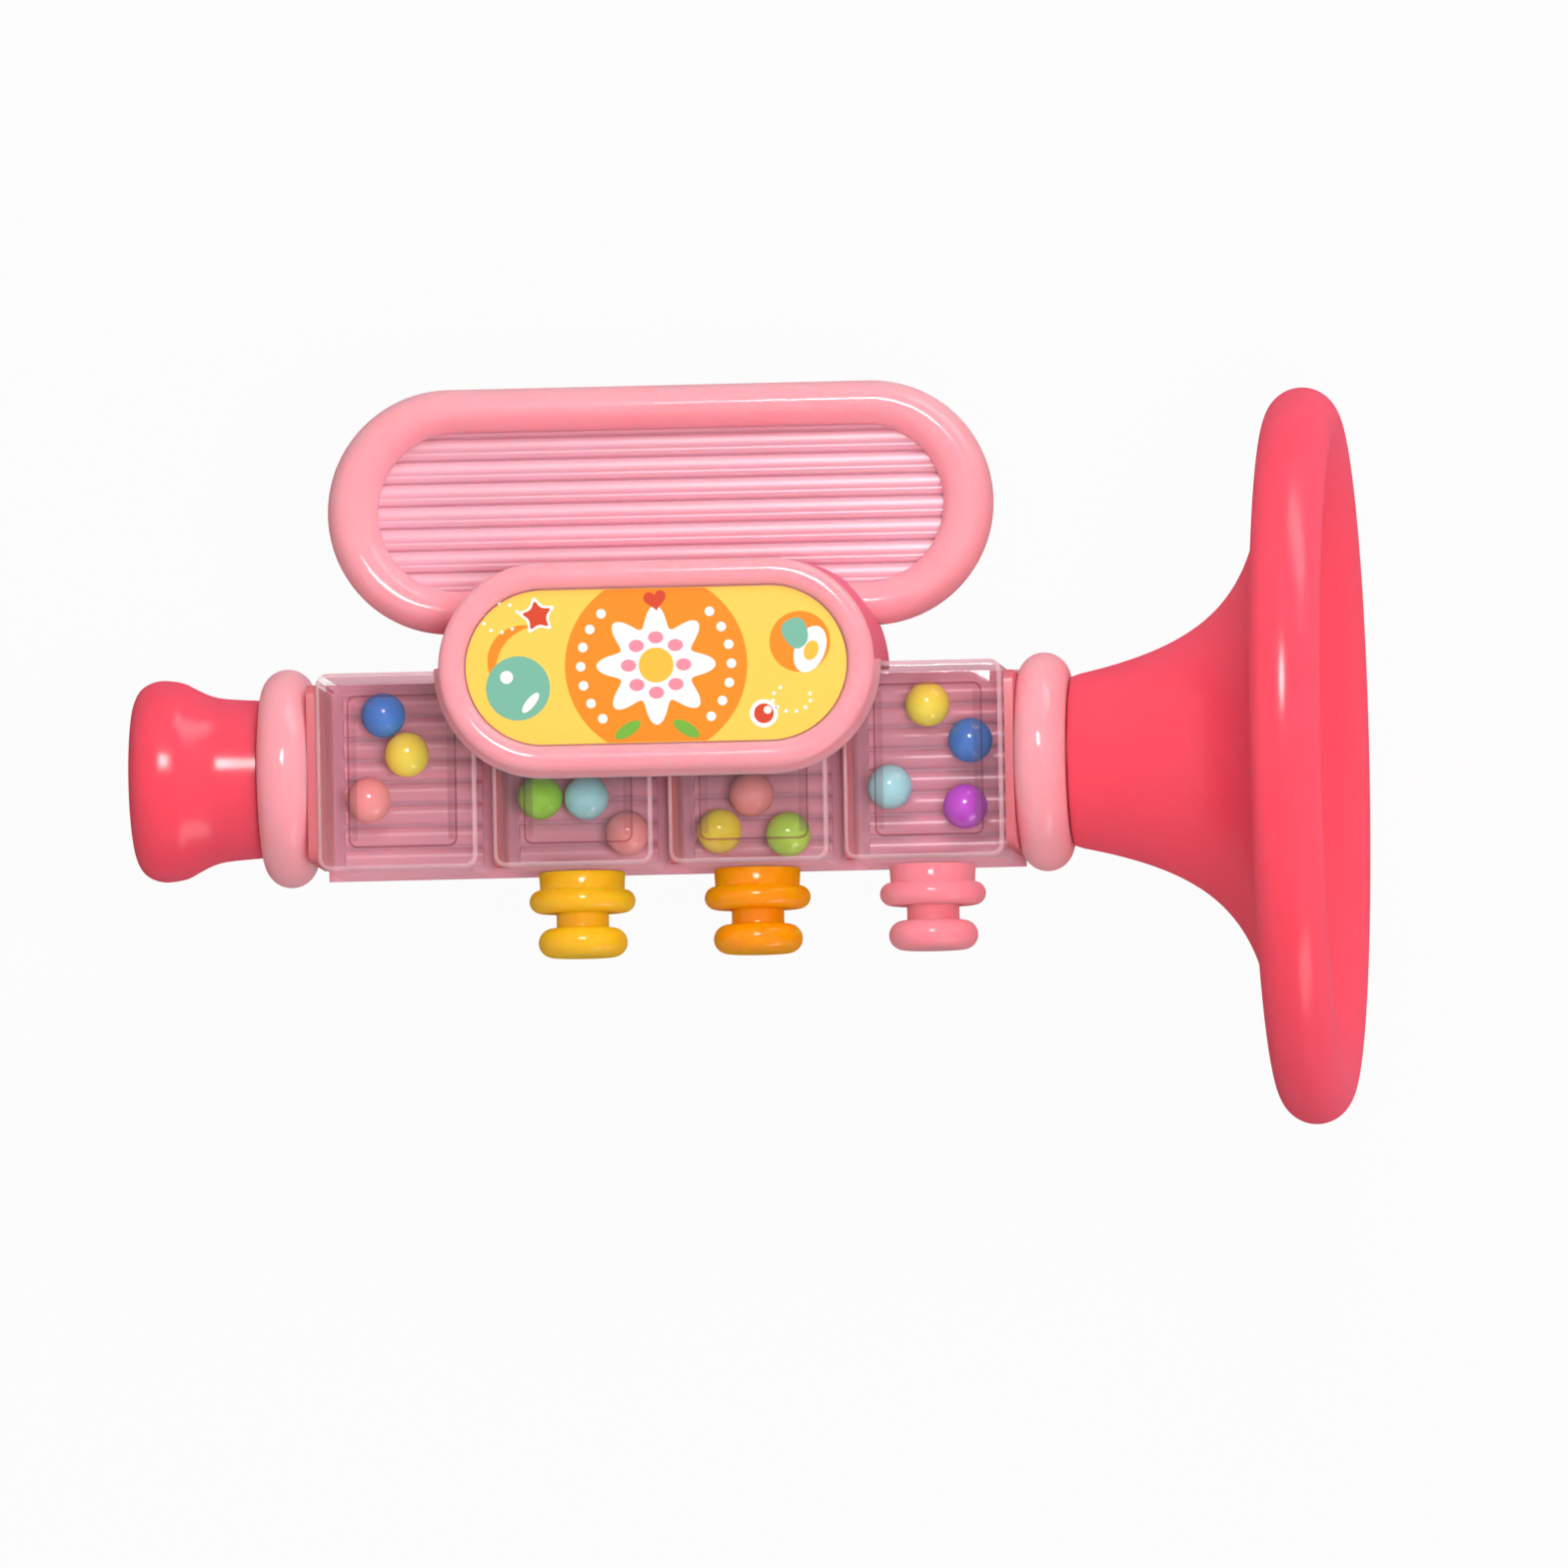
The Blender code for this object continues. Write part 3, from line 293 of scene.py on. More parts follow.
def rounded_rectangle(width, height, radius, steps=6):
    """Points round a rectangle with round corners, about the origin."""
    parts = []
    for side_x, side_y, start in ((1, 1, 0), (-1, 1, 90), (-1, -1, 180), (1, -1, 270)):
        centre = (side_x * (width / 2 - radius), side_y * (height / 2 - radius))
        parts.append(arc(centre, radius, start, start + 90, steps))
    return np.concatenate(parts)


def skin(name, grid, finish, body=TRUMPET, stands_for=(), rows_join=False, caps=True,
         smooth=35, slot=None):
    """Turn a grid whose rows are closed rings into a closed mesh piece that rides on a body."""
    grid = np.asarray(grid, float)
    rows, columns = grid.shape[:2]
    index = np.arange(rows * columns).reshape(rows, columns)
    ahead = np.roll(index, -1, axis=0) if rows_join else index[1:]
    here = index if rows_join else index[:-1]
    quads = np.stack([here, np.roll(here, -1, axis=1), np.roll(ahead, -1, axis=1), ahead], axis=-1)
    faces = quads.reshape(-1, 4).tolist()
    if caps and not rows_join:
        faces += [index[0].tolist(), index[-1].tolist()]
    mesh = bpy.data.meshes.new(name)
    mesh.from_pydata(grid.reshape(-1, 3).tolist(), [], faces)
    return finish_piece(name, mesh, finish, body, stands_for, smooth, slot)


def finish_piece(name, mesh, finish, body=TRUMPET, stands_for=(), smooth=35, slot=None):
    """Merge doubled points, face everything outwards, shade, and put the piece on its body."""
    bm = bmesh.new()
    bm.from_mesh(mesh)
    bmesh.ops.remove_doubles(bm, verts=bm.verts, dist=0.0005 * MM)
    bmesh.ops.recalc_face_normals(bm, faces=bm.faces)
    bm.to_mesh(mesh)
    bm.free()
    mesh.shade_smooth()
    mesh.set_sharp_from_angle(angle=math.radians(smooth))
    mesh.materials.append(finish)
    made = bpy.data.objects.new(name, mesh)
    bpy.context.scene.collection.objects.link(made)
    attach(made, body)
    if stands_for:
        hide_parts(*stands_for)
    return made


def joined(name, grids, finish, rows_join=False, **kept):
    """Several closed shells of one material as one piece."""
    bm = bmesh.new()
    for grid in grids:
        grid = np.asarray(grid, float)
        rows, columns = grid.shape[:2]
        verts = [bm.verts.new(p) for p in grid.reshape(-1, 3)]
        last = rows if rows_join else rows - 1
        for i in range(last):
            here, ahead = i * columns, (i + 1) % rows * columns
            for j in range(columns):
                beside = (j + 1) % columns
                bm.faces.new((verts[here + j], verts[here + beside], verts[ahead + beside],
                              verts[ahead + j]))
        if not rows_join:
            bm.faces.new(verts[:columns])
            bm.faces.new(verts[-columns:])
    mesh = bpy.data.meshes.new(name)
    bm.to_mesh(mesh)
    bm.free()
    return finish_piece(name, mesh, finish, **kept)


# Finishes

CORAL = moulded_plastic("coral ABS", "#FF5169", "#FC4B62", roughness=0.22, depth_mm=6.0)
PINK = moulded_plastic("light pink ABS", "#FFAEB9", "#FEA9B5", depth_mm=2.0)
# Painted shade: the badge's upright side wall is the same pink as the frame, made a deeper rose to
# stand for its shade.
SHADE_PAINTED_SIDE_ROSE = moulded_plastic("pink ABS of the badge's side with painted shade", "#FF748F", "#FC6E8A", depth_mm=2.0)
RIB_PINK = moulded_plastic("ribbed pink ABS", "#E1ABBB", "#DDA6B6", roughness=0.24, waxiness=0.4,
                           depth_mm=2.0)
BACK_PINK = moulded_plastic("deep pink ABS of the back", "#E0A3B2", "#DB9DAD", roughness=0.26,
                            waxiness=0.4, depth_mm=2.0)
CLEAR = clear_plastic("clear polystyrene moulding", "#FFFDFE", 0.02, 0.12)
# Painted reflection: thin tinted clear strips just under the front wall draw the inner outline that
# the side walls' reflections make in each chamber.
PAINTED_REFLECTION_RIB = clear_plastic("tinted clear rib with painted reflection", "#F2D2D8", 0.02, 0.10)
PAINTED_REFLECTION_RAIL = clear_plastic("tinted clear rail with painted reflection", "#FBEFF0", 0.02, 0.10)
# Copies of the clear plastic for the outer faces, chosen by which way each face points. The round
# front edge and the lower wall show a pale diffuse share as painted highlight, and the left side
# shows one as painted light. The upper wall has a deeper pink cast as painted shade.
LIGHT_PAINTED_EDGE = painted_pale_wall("clear polystyrene round edge with painted highlight", "#FEFBFC", "#FBE3E8", 0.32, 0.52)
SHADE_PAINTED_TOP_WALL = painted_pale_wall("clear polystyrene upper wall", "#E2B4BE", "#F3CFD6", 0.03, 0.28)
LIGHT_PAINTED_SIDE_WALL = painted_pale_wall("clear polystyrene side wall with painted light", "#FEF6F7", "#FAC4C8", 0.05, 0.52)
LIGHT_PAINTED_LOW_WALL = painted_pale_wall("clear polystyrene lower wall with painted highlight", "#FEFBFC", "#FBDDE3", 0.05, 0.36)
YELLOW = moulded_plastic("yellow ABS", "#FFC824", "#FFC118", roughness=0.15, depth_mm=1.5)
ORANGE = moulded_plastic("orange ABS", "#FFA404", "#FF9C02", roughness=0.15, depth_mm=1.5)
ROSE = moulded_plastic("rose ABS", "#FF9AA7", "#FE94A2", roughness=0.15, depth_mm=2.0)
# Two copies of one rose for the end walls and the dividers between the chambers. A deeper one is
# painted shade on the faces seen from the front, in the gaps and beside the rings. A lighter one is
# painted light on the faces along the bore, lifting them out of their shade.
LIGHT_PAINTED_ROSE = moulded_plastic("rose ABS of the end walls with painted light", "#F8A2AC", "#F49CA6",
                            roughness=0.26, waxiness=0.4, depth_mm=2.0)
SHADE_PAINTED_ROSE = moulded_plastic("rose ABS of the end walls with painted shade", "#D0747C", "#CA6C75",
                            roughness=0.26, waxiness=0.4, depth_mm=2.0)
STEEL = spring_steel()
REED_PLASTIC = moulded_plastic("reed polypropylene", "#F3EEE2", "#ECE6D8", roughness=0.42)
BEADS = {colour: moulded_plastic(f"{colour} bead", code, deep, roughness=0.14, waxiness=0.2,
                                 depth_mm=0.5, mottle_mm=4.0, index=1.5, mirror=0.05)
         for colour, code, deep in (
             ("blue", "#4592EA", "#3B86DE"), ("yellow", "#FFFF52", "#FFF848"),
             ("salmon", "#FDA8A4", "#F89E9C"), ("green", "#A4F040", "#9AE63A"),
             ("light_blue", "#B4FFFF", "#AAF8FF"), ("mustard", "#FFF240", "#FFE838"),
             ("lime", "#CCFF62", "#C0FF56"), ("purple", "#D054F0", "#C44AE4"))}


# Bell, rings and mouthpiece

def flare(along, neck, length, power):
    """Horn curve: neck * (length / (length - along)) ** power."""
    return neck * (length / (length - along)) ** power


def bezier(start, lead, trail, end, steps):
    """Cubic curve from a start to an end, which leaves and arrives towards two guide points."""
    t = np.linspace(0, 1, steps)[:, None]
    return (start * (1 - t) ** 3 + lead * 3 * t * (1 - t) ** 2
            + trail * 3 * t * t * (1 - t) + end * t ** 3)


def make_bell():
    """Horn wall offset from its curve along its normal, with a thick rolled rim that runs
    smoothly into the mouth."""
    low, high = span("bell")
    ring_face = span("bell_ring")[1][0]
    neck, length, power, top, wall = 15.2 * MM, 39.5 * MM, 0.51, 52.7 * MM, 2.0 * MM
    rim, bead = (high[1] - low[1]) / 2, 6.3 * MM
    wall_end = 43 * MM                            # radius where the inside turns into the rim
    start = ring_face + FIT_GAP
    share = 1 - (neck / top) ** (1 / power)
    along = share * length * (1 - (1 - np.linspace(0, 1, 90)) ** 2.2)
    radius = flare(along, neck, length, power)
    lean = np.arctan(power * radius / (length - along))
    outer = np.stack([start + along, radius], axis=1)
    inner = np.stack([start + along + wall * np.sin(lean), radius - wall * np.cos(lean)], axis=1)
    inner = inner[inner[:, 1] < wall_end]
    roll = arc((high[0] - bead, rim - bead), bead, 176, -30, 52)
    ahead = (roll[-1] - roll[-2]) / np.linalg.norm(roll[-1] - roll[-2])
    back = (inner[-1] - inner[-2]) / np.linalg.norm(inner[-1] - inner[-2])
    reach = np.linalg.norm(roll[-1] - inner[-1])
    blend = bezier(roll[-1], roll[-1] + ahead * 0.30 * reach, inner[-1] + back * 0.35 * reach,
                   inner[-1], 28)
    bore = 10.0 * MM
    lip = fillet([(start, bore + wall), (start, neck - 0.2 * MM), (start + 0.6 * MM, neck)],
                 0.5 * MM)
    profile = np.concatenate([[(low[0], bore), (low[0], bore + wall)], lip, outer[2:], roll,
                              blend[1:-1], inner[::-1], [(start + 1.2 * MM, bore)]])
    skin("bell_horn", spun(profile, (0, AXIS[1], AXIS[2]), steps=192), CORAL, rows_join=True,
         stands_for=("bell",), slot="coral", smooth=50)


def make_ring(name, node_name):
    """Collar ring: a half round outside on a plain bore, with softened edges."""
    low, high = span(node_name)
    half, rim = (high[0] - low[0]) / 2, (high[1] - low[1]) / 2
    bore = 12.3 * MM
    outside = arc((0, rim - half), half, 180, 0, 40)
    profile = np.concatenate([[(-half, bore)], outside, [(half, bore)]])
    skin(name, spun(profile, ((low[0] + high[0]) / 2, AXIS[1], AXIS[2]), steps=144), PINK,
         rows_join=True, stands_for=(node_name,), slot="pink", smooth=50)


def smooth_through(points, steps):
    """Catmull-Rom points through the given ones, with steps between each two."""
    points = np.asarray(points, float)
    padded = np.concatenate([points[:1], points, points[-1:]])
    t = np.linspace(0, 1, steps, endpoint=False)[:, None]
    parts = [0.5 * (2 * b + (c - a) * t + (2 * a - 5 * b + 4 * c - d) * t ** 2
                    + (3 * b - a - 3 * c + d) * t ** 3)
             for a, b, c, d in zip(padded, padded[1:], padded[2:], padded[3:])]
    return np.concatenate(parts + [points[-1:]])


def make_mouthpiece():
    """Flared mouthpiece: a smooth curve through shares of its length and largest radius, then a
    shallow cup, the blow hole and the hollow for the reed."""
    low, high = span("mouthpiece")
    ring_face = span("mouthpiece_ring")[0][0]
    shares = ((0.00, 0.782), (0.20, 0.799), (0.32, 0.817), (0.41, 0.852), (0.50, 0.908),
              (0.60, 0.972), (0.735, 1.000), (0.83, 0.985), (0.905, 0.936), (0.95, 0.868),
              (0.98, 0.770), (0.995, 0.640), (1.00, 0.540))
    start, rim = ring_face - FIT_GAP, (high[1] - low[1]) / 2
    outer = [(start - along * (start - low[0]), radius * rim) for along, radius in shares]
    bore, neck = 10.0 * MM, 12.0 * MM
    cup_mouth, hole, cup_floor, web = 8.0 * MM, 3.2 * MM, 4.5 * MM, 3.0 * MM
    cup = fillet([(low[0], cup_mouth + 1.2 * MM), (low[0] + 0.2 * MM, cup_mouth),
                  (low[0] + cup_floor, hole), (low[0] + cup_floor + web, hole),
                  (low[0] + cup_floor + web, bore)], 0.8 * MM)
    profile = np.concatenate([[(high[0], bore), (high[0], neck), (start, neck)],
                              smooth_through(outer, 10), cup])
    skin("mouthpiece_shell", spun(profile, (0, AXIS[1], AXIS[2]), steps=144), CORAL,
         rows_join=True, stands_for=("mouthpiece",), slot="coral", smooth=50)


# Clear chambers and what is behind them

def make_window(number):
    """Clear box, open at the back: rounded rectangles stacked from the cavity out over the rim."""
    name = f"window_{number}"
    low, high = span(name)
    middle = (low + high) / 2
    width, height = high[0] - low[0], high[1] - low[1]
    wall, corner, edge, inner_edge = 1.5 * MM, 2.2 * MM, 1.0 * MM, 0.6 * MM
    near = 0.2 * MM                               # a face this close to the outside is an outer one
    under = high[2] - wall                        # level of the front wall's inside
    cavity = corner - wall
    rows = []
    for inset, drop in arc((inner_edge, inner_edge), inner_edge, 270, 180, 4):
        margin = 2 * (wall + inset)
        rows.append(lifted(rounded_rectangle(width - margin, height - margin,
                                             max(cavity - inset, 0.1 * MM)), under - drop))
    rows.append(lifted(rounded_rectangle(width - 2 * wall, height - 2 * wall, cavity), low[2]))
    rows.append(lifted(rounded_rectangle(width, height, corner), low[2]))
    for inset, level in arc((edge, high[2] - edge), edge, 180, 90, 6):
        rows.append(lifted(rounded_rectangle(width - 2 * inset, height - 2 * inset,
                                             corner - inset), level))
    grid = np.array(rows) + np.array([middle[0], middle[1], 0])
    made = skin(f"clear_chamber_{number}", grid, CLEAR, stands_for=(name,), slot="clear",
                smooth=40)
    for finish in (LIGHT_PAINTED_EDGE, SHADE_PAINTED_TOP_WALL, LIGHT_PAINTED_LOW_WALL, LIGHT_PAINTED_SIDE_WALL):
        made.data.materials.append(finish)
    # Painted light and shade by which way an outer face points: round edge, lower and left walls
    # paler, upper wall deeper.
    for face in made.data.polygons:
        outer = (abs(face.center.y - middle[1]) > height / 2 - near
                 or abs(face.center.x - middle[0]) > width / 2 - near)
        if face.center.z > high[2] - edge and face.normal.z < 0.97:
            face.material_index = 1
        elif outer and face.normal.y < -0.9:
            face.material_index = 3
        elif outer and (face.normal.y > 0.3 or face.normal.x < -0.3):
            face.material_index = 2 if face.normal.y > 0.3 else 4
    # Painted reflection: a tinted ring and two rails a hair under the front wall draw the inner
    # outline that the side walls' reflections make.
    rib, width_in, height_in, offset = 0.42 * MM, 19.4 * MM, 27.2 * MM, 0.9 * MM
    rows = [lifted(rounded_rectangle(width_in - 2 * inset, height_in - 2 * inset,
                                     1.6 * MM - inset), under - drop)
            for inset, drop in ((0, 0.01 * MM), (0, 0.16 * MM), (rib, 0.16 * MM), (rib, 0.01 * MM))]
    skin(f"chamber_reflection_rib_{number}", np.array(rows) + np.array([middle[0] + offset, middle[1], 0]),
         PAINTED_REFLECTION_RIB, rows_join=True, slot="clear")
    rails = []
    for side in (-1, 1):
        rail = rounded_rectangle(1.1 * MM, 24.6 * MM, 0.4 * MM) + np.array(
            [middle[0] + offset + side * (width_in / 2 - 1.1 * MM), middle[1]])
        rails.append([lifted(rail, under - drop) for drop in (0.01 * MM, 0.15 * MM)])
    joined(f"chamber_reflection_rails_{number}", rails, PAINTED_REFLECTION_RAIL, slot="clear")


def bar(x_low, x_high, profile):
    """A bar along X with one closed YZ profile."""
    profile = np.asarray(profile, float)
    return np.array([np.column_stack([np.full(len(profile), x), profile])
                     for x in (x_low, x_high)])


def ribs(width, count, rise, steps, groove=0.8 * MM, notch=0.0, shift=0.0):
    """Height of a row of ribs across a width: rise * |sin(pi * place)| ** 0.7, less a narrow
    groove between each two, groove * exp(-(distance / 0.18 mm) ** 2), and less a shallow notch
    at 0.36 of each rib. The row can start a shift lower."""
    across = np.linspace(-width / 2, width / 2, count * steps + 1)
    place = (across + width / 2 + shift) * count / width
    away = np.abs(place - np.round(place)) * width / count
    off_notch = (place % 1 - 0.36) * width / count
    height = rise * np.abs(np.sin(np.pi * place)) ** 0.7
    height -= groove * np.exp(-(away / (0.18 * MM)) ** 2)
    return across, height - notch * np.exp(-(off_notch / (0.25 * MM)) ** 2)


def make_back_shell():
    """Back plate with a ribbed pad in each chamber, locating ribs, end plates, spigots and lugs."""
    low, high = span("back_shell")
    plate, rib_rise, wall, gap = 1.6 * MM, 0.9 * MM, 1.5 * MM, 0.4 * MM
    plate_face = BACK_FACE + plate
    y_low, y_high = BLOCK_LOW[1], BLOCK_HIGH[1]
    ends = (span("mouthpiece_ring")[1][0] + 0.02 * MM, span("bell_ring")[0][0] - 0.02 * MM)
    edge = 0.3 * MM
    outline = [(y_low, BACK_FACE + edge), (y_low + edge, BACK_FACE), (y_high - edge, BACK_FACE),
               (y_high, BACK_FACE + edge), (y_high, plate_face), (y_low, plate_face)]
    shells = [bar(ends[0] + 0.6 * MM, ends[1] - 0.6 * MM, outline)]
    pad_height = y_high - y_low - 2 * (wall + gap)
    across, rise = ribs(pad_height, 8, rib_rise, 12)
    across = across + (y_low + y_high) / 2
    crest, foot = plate_face + 0.18 * MM, plate_face - plate / 2
    profile = [(across[0], foot), *zip(across, crest + rise), (across[-1], foot)]
    inset, end_plate, half_divider = 1.8 * MM, 1.2 * MM + FIT_GAP, 0.9 * MM
    divider_top = plate_face + 5 * MM
    divider = [(y_low + inset, foot), (y_high - inset, foot), (y_high - inset, divider_top),
               (y_low + inset, divider_top)]
    dividers = []
    for number in range(1, 5):
        b_low, b_high = span(f"window_{number}")
        shells.append(bar(b_low[0] + wall + gap, b_high[0] - wall - gap, profile))
        if number < 4:
            middle = (b_high[0] + span(f"window_{number + 1}")[0][0]) / 2
            dividers.append(bar(middle - half_divider, middle + half_divider, divider))
    z_low, z_high = BACK_FACE + plate / 2, FRONT_FACE - inset
    sheet = rounded_rectangle(y_high - y_low - 2 * inset, z_high - z_low, 2.2 * MM)
    sheet = sheet + np.array([(y_low + y_high) / 2, (z_low + z_high) / 2])
    made = joined("end_walls", [bar(ends[0], ends[0] + end_plate, sheet),
                                bar(ends[1] - end_plate, ends[1], sheet)] + dividers, SHADE_PAINTED_ROSE,
                  slot="rib_pink")
    made.data.materials.append(LIGHT_PAINTED_ROSE)
    # Faces along the bore take the painted light, all others the painted shade.
    for face in made.data.polygons:
        face.material_index = int(abs(face.normal.x) > 0.9)
    joined("ribbed_back", shells, BACK_PINK, stands_for=("back_shell",), slot="rib_pink", smooth=40)
    bore, outside = 7.7 * MM, 9.7 * MM
    spigots = [spun([(root, bore), (root, outside), (tip, outside), (tip, bore)],
                    (0, AXIS[1], AXIS[2]), steps=96)
               for tip, root in ((low[0], ends[0]), (high[0], ends[1]))]
    joined("bore_spigots", spigots, RIB_PINK, rows_join=True, slot="rib_pink")
    make_lugs()


def make_lugs():
    """Screw lugs above the back plate: rounded tabs with a hole and a recess for the head."""
    tabs = []
    top, back, face, web = BLOCK_TOP, BACK_FACE + 0.2 * MM, BACK_FACE + 4.0 * MM, 1.8 * MM
    half, hole, recess = 4.6 * MM, 1.5 * MM, 2.9 * MM
    for number in (1, 2):
        screw = middle_of(f"housing_screw_{number}")
        arch = arc((0, 0), half, 0, 180, 32)
        foot = top + 0.3 * MM - screw[1]
        side = np.array([(-half, foot * t) for t in (0.5, 1.0)])
        other = np.array([(half, foot * t) for t in (1.0, 0.5)])
        base = np.stack([np.linspace(-half, half, 12)[1:-1], np.full(10, foot)], axis=1)
        outline = np.concatenate([arch, side, base, other])
        angle = np.arctan2(outline[:, 1], outline[:, 0])
        ring = np.stack([np.cos(angle), np.sin(angle)], axis=1)
        centre = np.array([screw[0], screw[1]])
        loops = ((ring * hole, face), (outline, face), (outline, back), (ring * recess, back),
                 (ring * recess, face - web), (ring * hole, face - web))
        tabs.append(np.array([lifted(loop + centre, level) for loop, level in loops]))
    joined("screw_lugs", tabs, RIB_PINK, rows_join=True, slot="rib_pink")


# Loop, badge and cover

LOOP_LOW, LOOP_HIGH = span("loop_frame")
LOOP_MIDDLE = (LOOP_LOW + LOOP_HIGH) / 2
TUBE_WIDTH = 7.6 * MM
LOOP_RADIUS = (LOOP_HIGH[1] - LOOP_LOW[1] - TUBE_WIDTH) / 2
LOOP_STRAIGHT = (LOOP_HIGH[0] - LOOP_LOW[0] - (LOOP_HIGH[1] - LOOP_LOW[1])) / 2


def make_loop():
    """Tube of oval section: the long oval's radius and level swing with cos and sin. Its inner
    side has a straight 1.3 mm shorter at each end, where the tube is stouter."""
    swing = np.linspace(0, math.tau, 48, endpoint=False)
    half_depth = (LOOP_HIGH[2] - LOOP_LOW[2]) / 2
    turns = np.linspace(-90, 90, 65)
    shorter = 1.3 * MM
    grid = [lifted(long_oval(LOOP_STRAIGHT + shorter * min(0, math.cos(a)),
                             LOOP_RADIUS + TUBE_WIDTH / 2 * math.cos(a), LOOP_MIDDLE, turns),
                   LOOP_MIDDLE[2] + half_depth * math.sin(a)) for a in swing]
    skin("loop_tube", grid, PINK, rows_join=True, stands_for=("loop_frame",), slot="pink")


def make_ribbed_panel():
    """Ribbed panel, snapped into the loop: each row is a thin box section as wide as the oval is
    at that height."""
    low, high = span("ribbed_panel")
    radius, thickness = (high[1] - low[1]) / 2 + 0.4 * MM, 1.90 * MM
    across, rise = ribs(high[1] - low[1], 7, 0.40 * MM, 36, groove=0.45 * MM, notch=0.10 * MM,
                        shift=0.75 * MM)
    across = np.concatenate([[-radius], across, [radius]])
    rise = np.concatenate([[0], rise, [0]])
    reach = LOOP_STRAIGHT + np.sqrt(np.maximum(radius ** 2 - across ** 2, 0))
    rows = []
    for y, x, lift in zip(across, reach, rise):
        face = low[2] + thickness + lift
        rows.append([(-x, y, face), (x, y, face), (x, y, low[2]), (-x, y, low[2])])
    grid = np.array(rows) + np.array([LOOP_MIDDLE[0], LOOP_MIDDLE[1], 0])
    skin("loop_panel", grid, RIB_PINK, stands_for=("ribbed_panel",), slot="rib_pink", smooth=30)


BADGE_LOW, BADGE_HIGH = span("badge_housing")
DRAFT = 1.0 * MM
BADGE_STRAIGHT = 20.15 * MM
BADGE_RADIUS = 18.6 * MM
BADGE_MIDDLE = np.array([ROW_MIDDLE, BLOCK_TOP, 0])
FRAME_WIDTH = 4.6 * MM
SKIRT_LEVEL = BADGE_LOW[2]
SEAT = FRONT_FACE + FIT_GAP
SIDE_DROP = 2.2 * MM            # from the frame's crest down to the upright side wall


def badge_turns():
    """Turn angles with two close stations where the skirt steps over the chambers' top."""
    step = math.degrees(math.asin(0.3 * MM / BADGE_RADIUS))
    return np.concatenate([np.linspace(-90, step - 0.05, 40), np.linspace(step + 0.05, 90, 40)])


def skirted(offset, upper, lower):
    """The badge's oval grown by an offset; its loop side lies at one level, the rest at another."""
    outline = long_oval(BADGE_STRAIGHT, BADGE_RADIUS + offset, BADGE_MIDDLE, badge_turns())
    level = np.where(outline[:, 1] > BLOCK_TOP + 0.3 * MM, upper, lower)
    return lifted(outline, level)


def make_badge_housing():
    """Front shell: skirt, softly rounded frame, recess wall and floor, all offsets of one oval."""
    wall = 2.0 * MM
    floor, ceiling = SEAT + 1.5 * MM, SEAT + 0.3 * MM
    rise = 1.9 * MM
    line = BADGE_HIGH[2] - rise
    rows = [skirted(-wall, ceiling, ceiling), skirted(DRAFT - wall, SKIRT_LEVEL, SEAT),
            skirted(DRAFT, SKIRT_LEVEL, SEAT)]
    roll = arc((-FRAME_WIDTH / 2, line), rise, 0, 180, 32, squash=FRAME_WIDTH / 2 / rise)
    rows += [skirted(inset, level, level) for inset, level in roll]
    rows.append(skirted(-FRAME_WIDTH, floor, floor))
    made = skin("badge_shell", rows, PINK, stands_for=("badge_housing",), slot="pink", smooth=40)
    # the upright side wall gets its painted shade
    paint_side_shade(made)


def paint_side_shade(made):
    """Paint shade on the upright side wall, below the frame: the same pink made a deeper rose."""
    made.data.materials.append(SHADE_PAINTED_SIDE_ROSE)
    for face in made.data.polygons:
        if abs(face.normal.z) < 0.3 and face.center.z < BADGE_HIGH[2] - SIDE_DROP:
            face.material_index = 1


def make_bridge_cover():
    """Rear shell behind the loop: the upper half of the badge's oval, closed at the back."""
    low, high = span("bridge_cover")
    edge, foot = 2.0 * MM, BLOCK_TOP + 0.3 * MM
    turns = np.linspace(0, 90, 49)
    rows = []
    for offset, level in [(DRAFT, high[2]), *arc((-edge, low[2] + edge), edge, 0, -90, 12)]:
        outline = long_oval(BADGE_STRAIGHT, BADGE_RADIUS + offset, BADGE_MIDDLE, turns)
        outline[:, 1] = np.maximum(outline[:, 1], foot)
        rows.append(lifted(outline, level))
    # the cover's upright side wall gets the same painted shade
    paint_side_shade(skin("rear_cover", rows, PINK, stands_for=("bridge_cover",), slot="pink",
                     smooth=40))


# Valves

def valve_origin(name):
    """Point on the chambers' underside on the axis of a valve."""
    middle = middle_of(f"valve_collar_{name}")
    return np.array([middle[0], BLOCK_LOW[1], middle[2]])


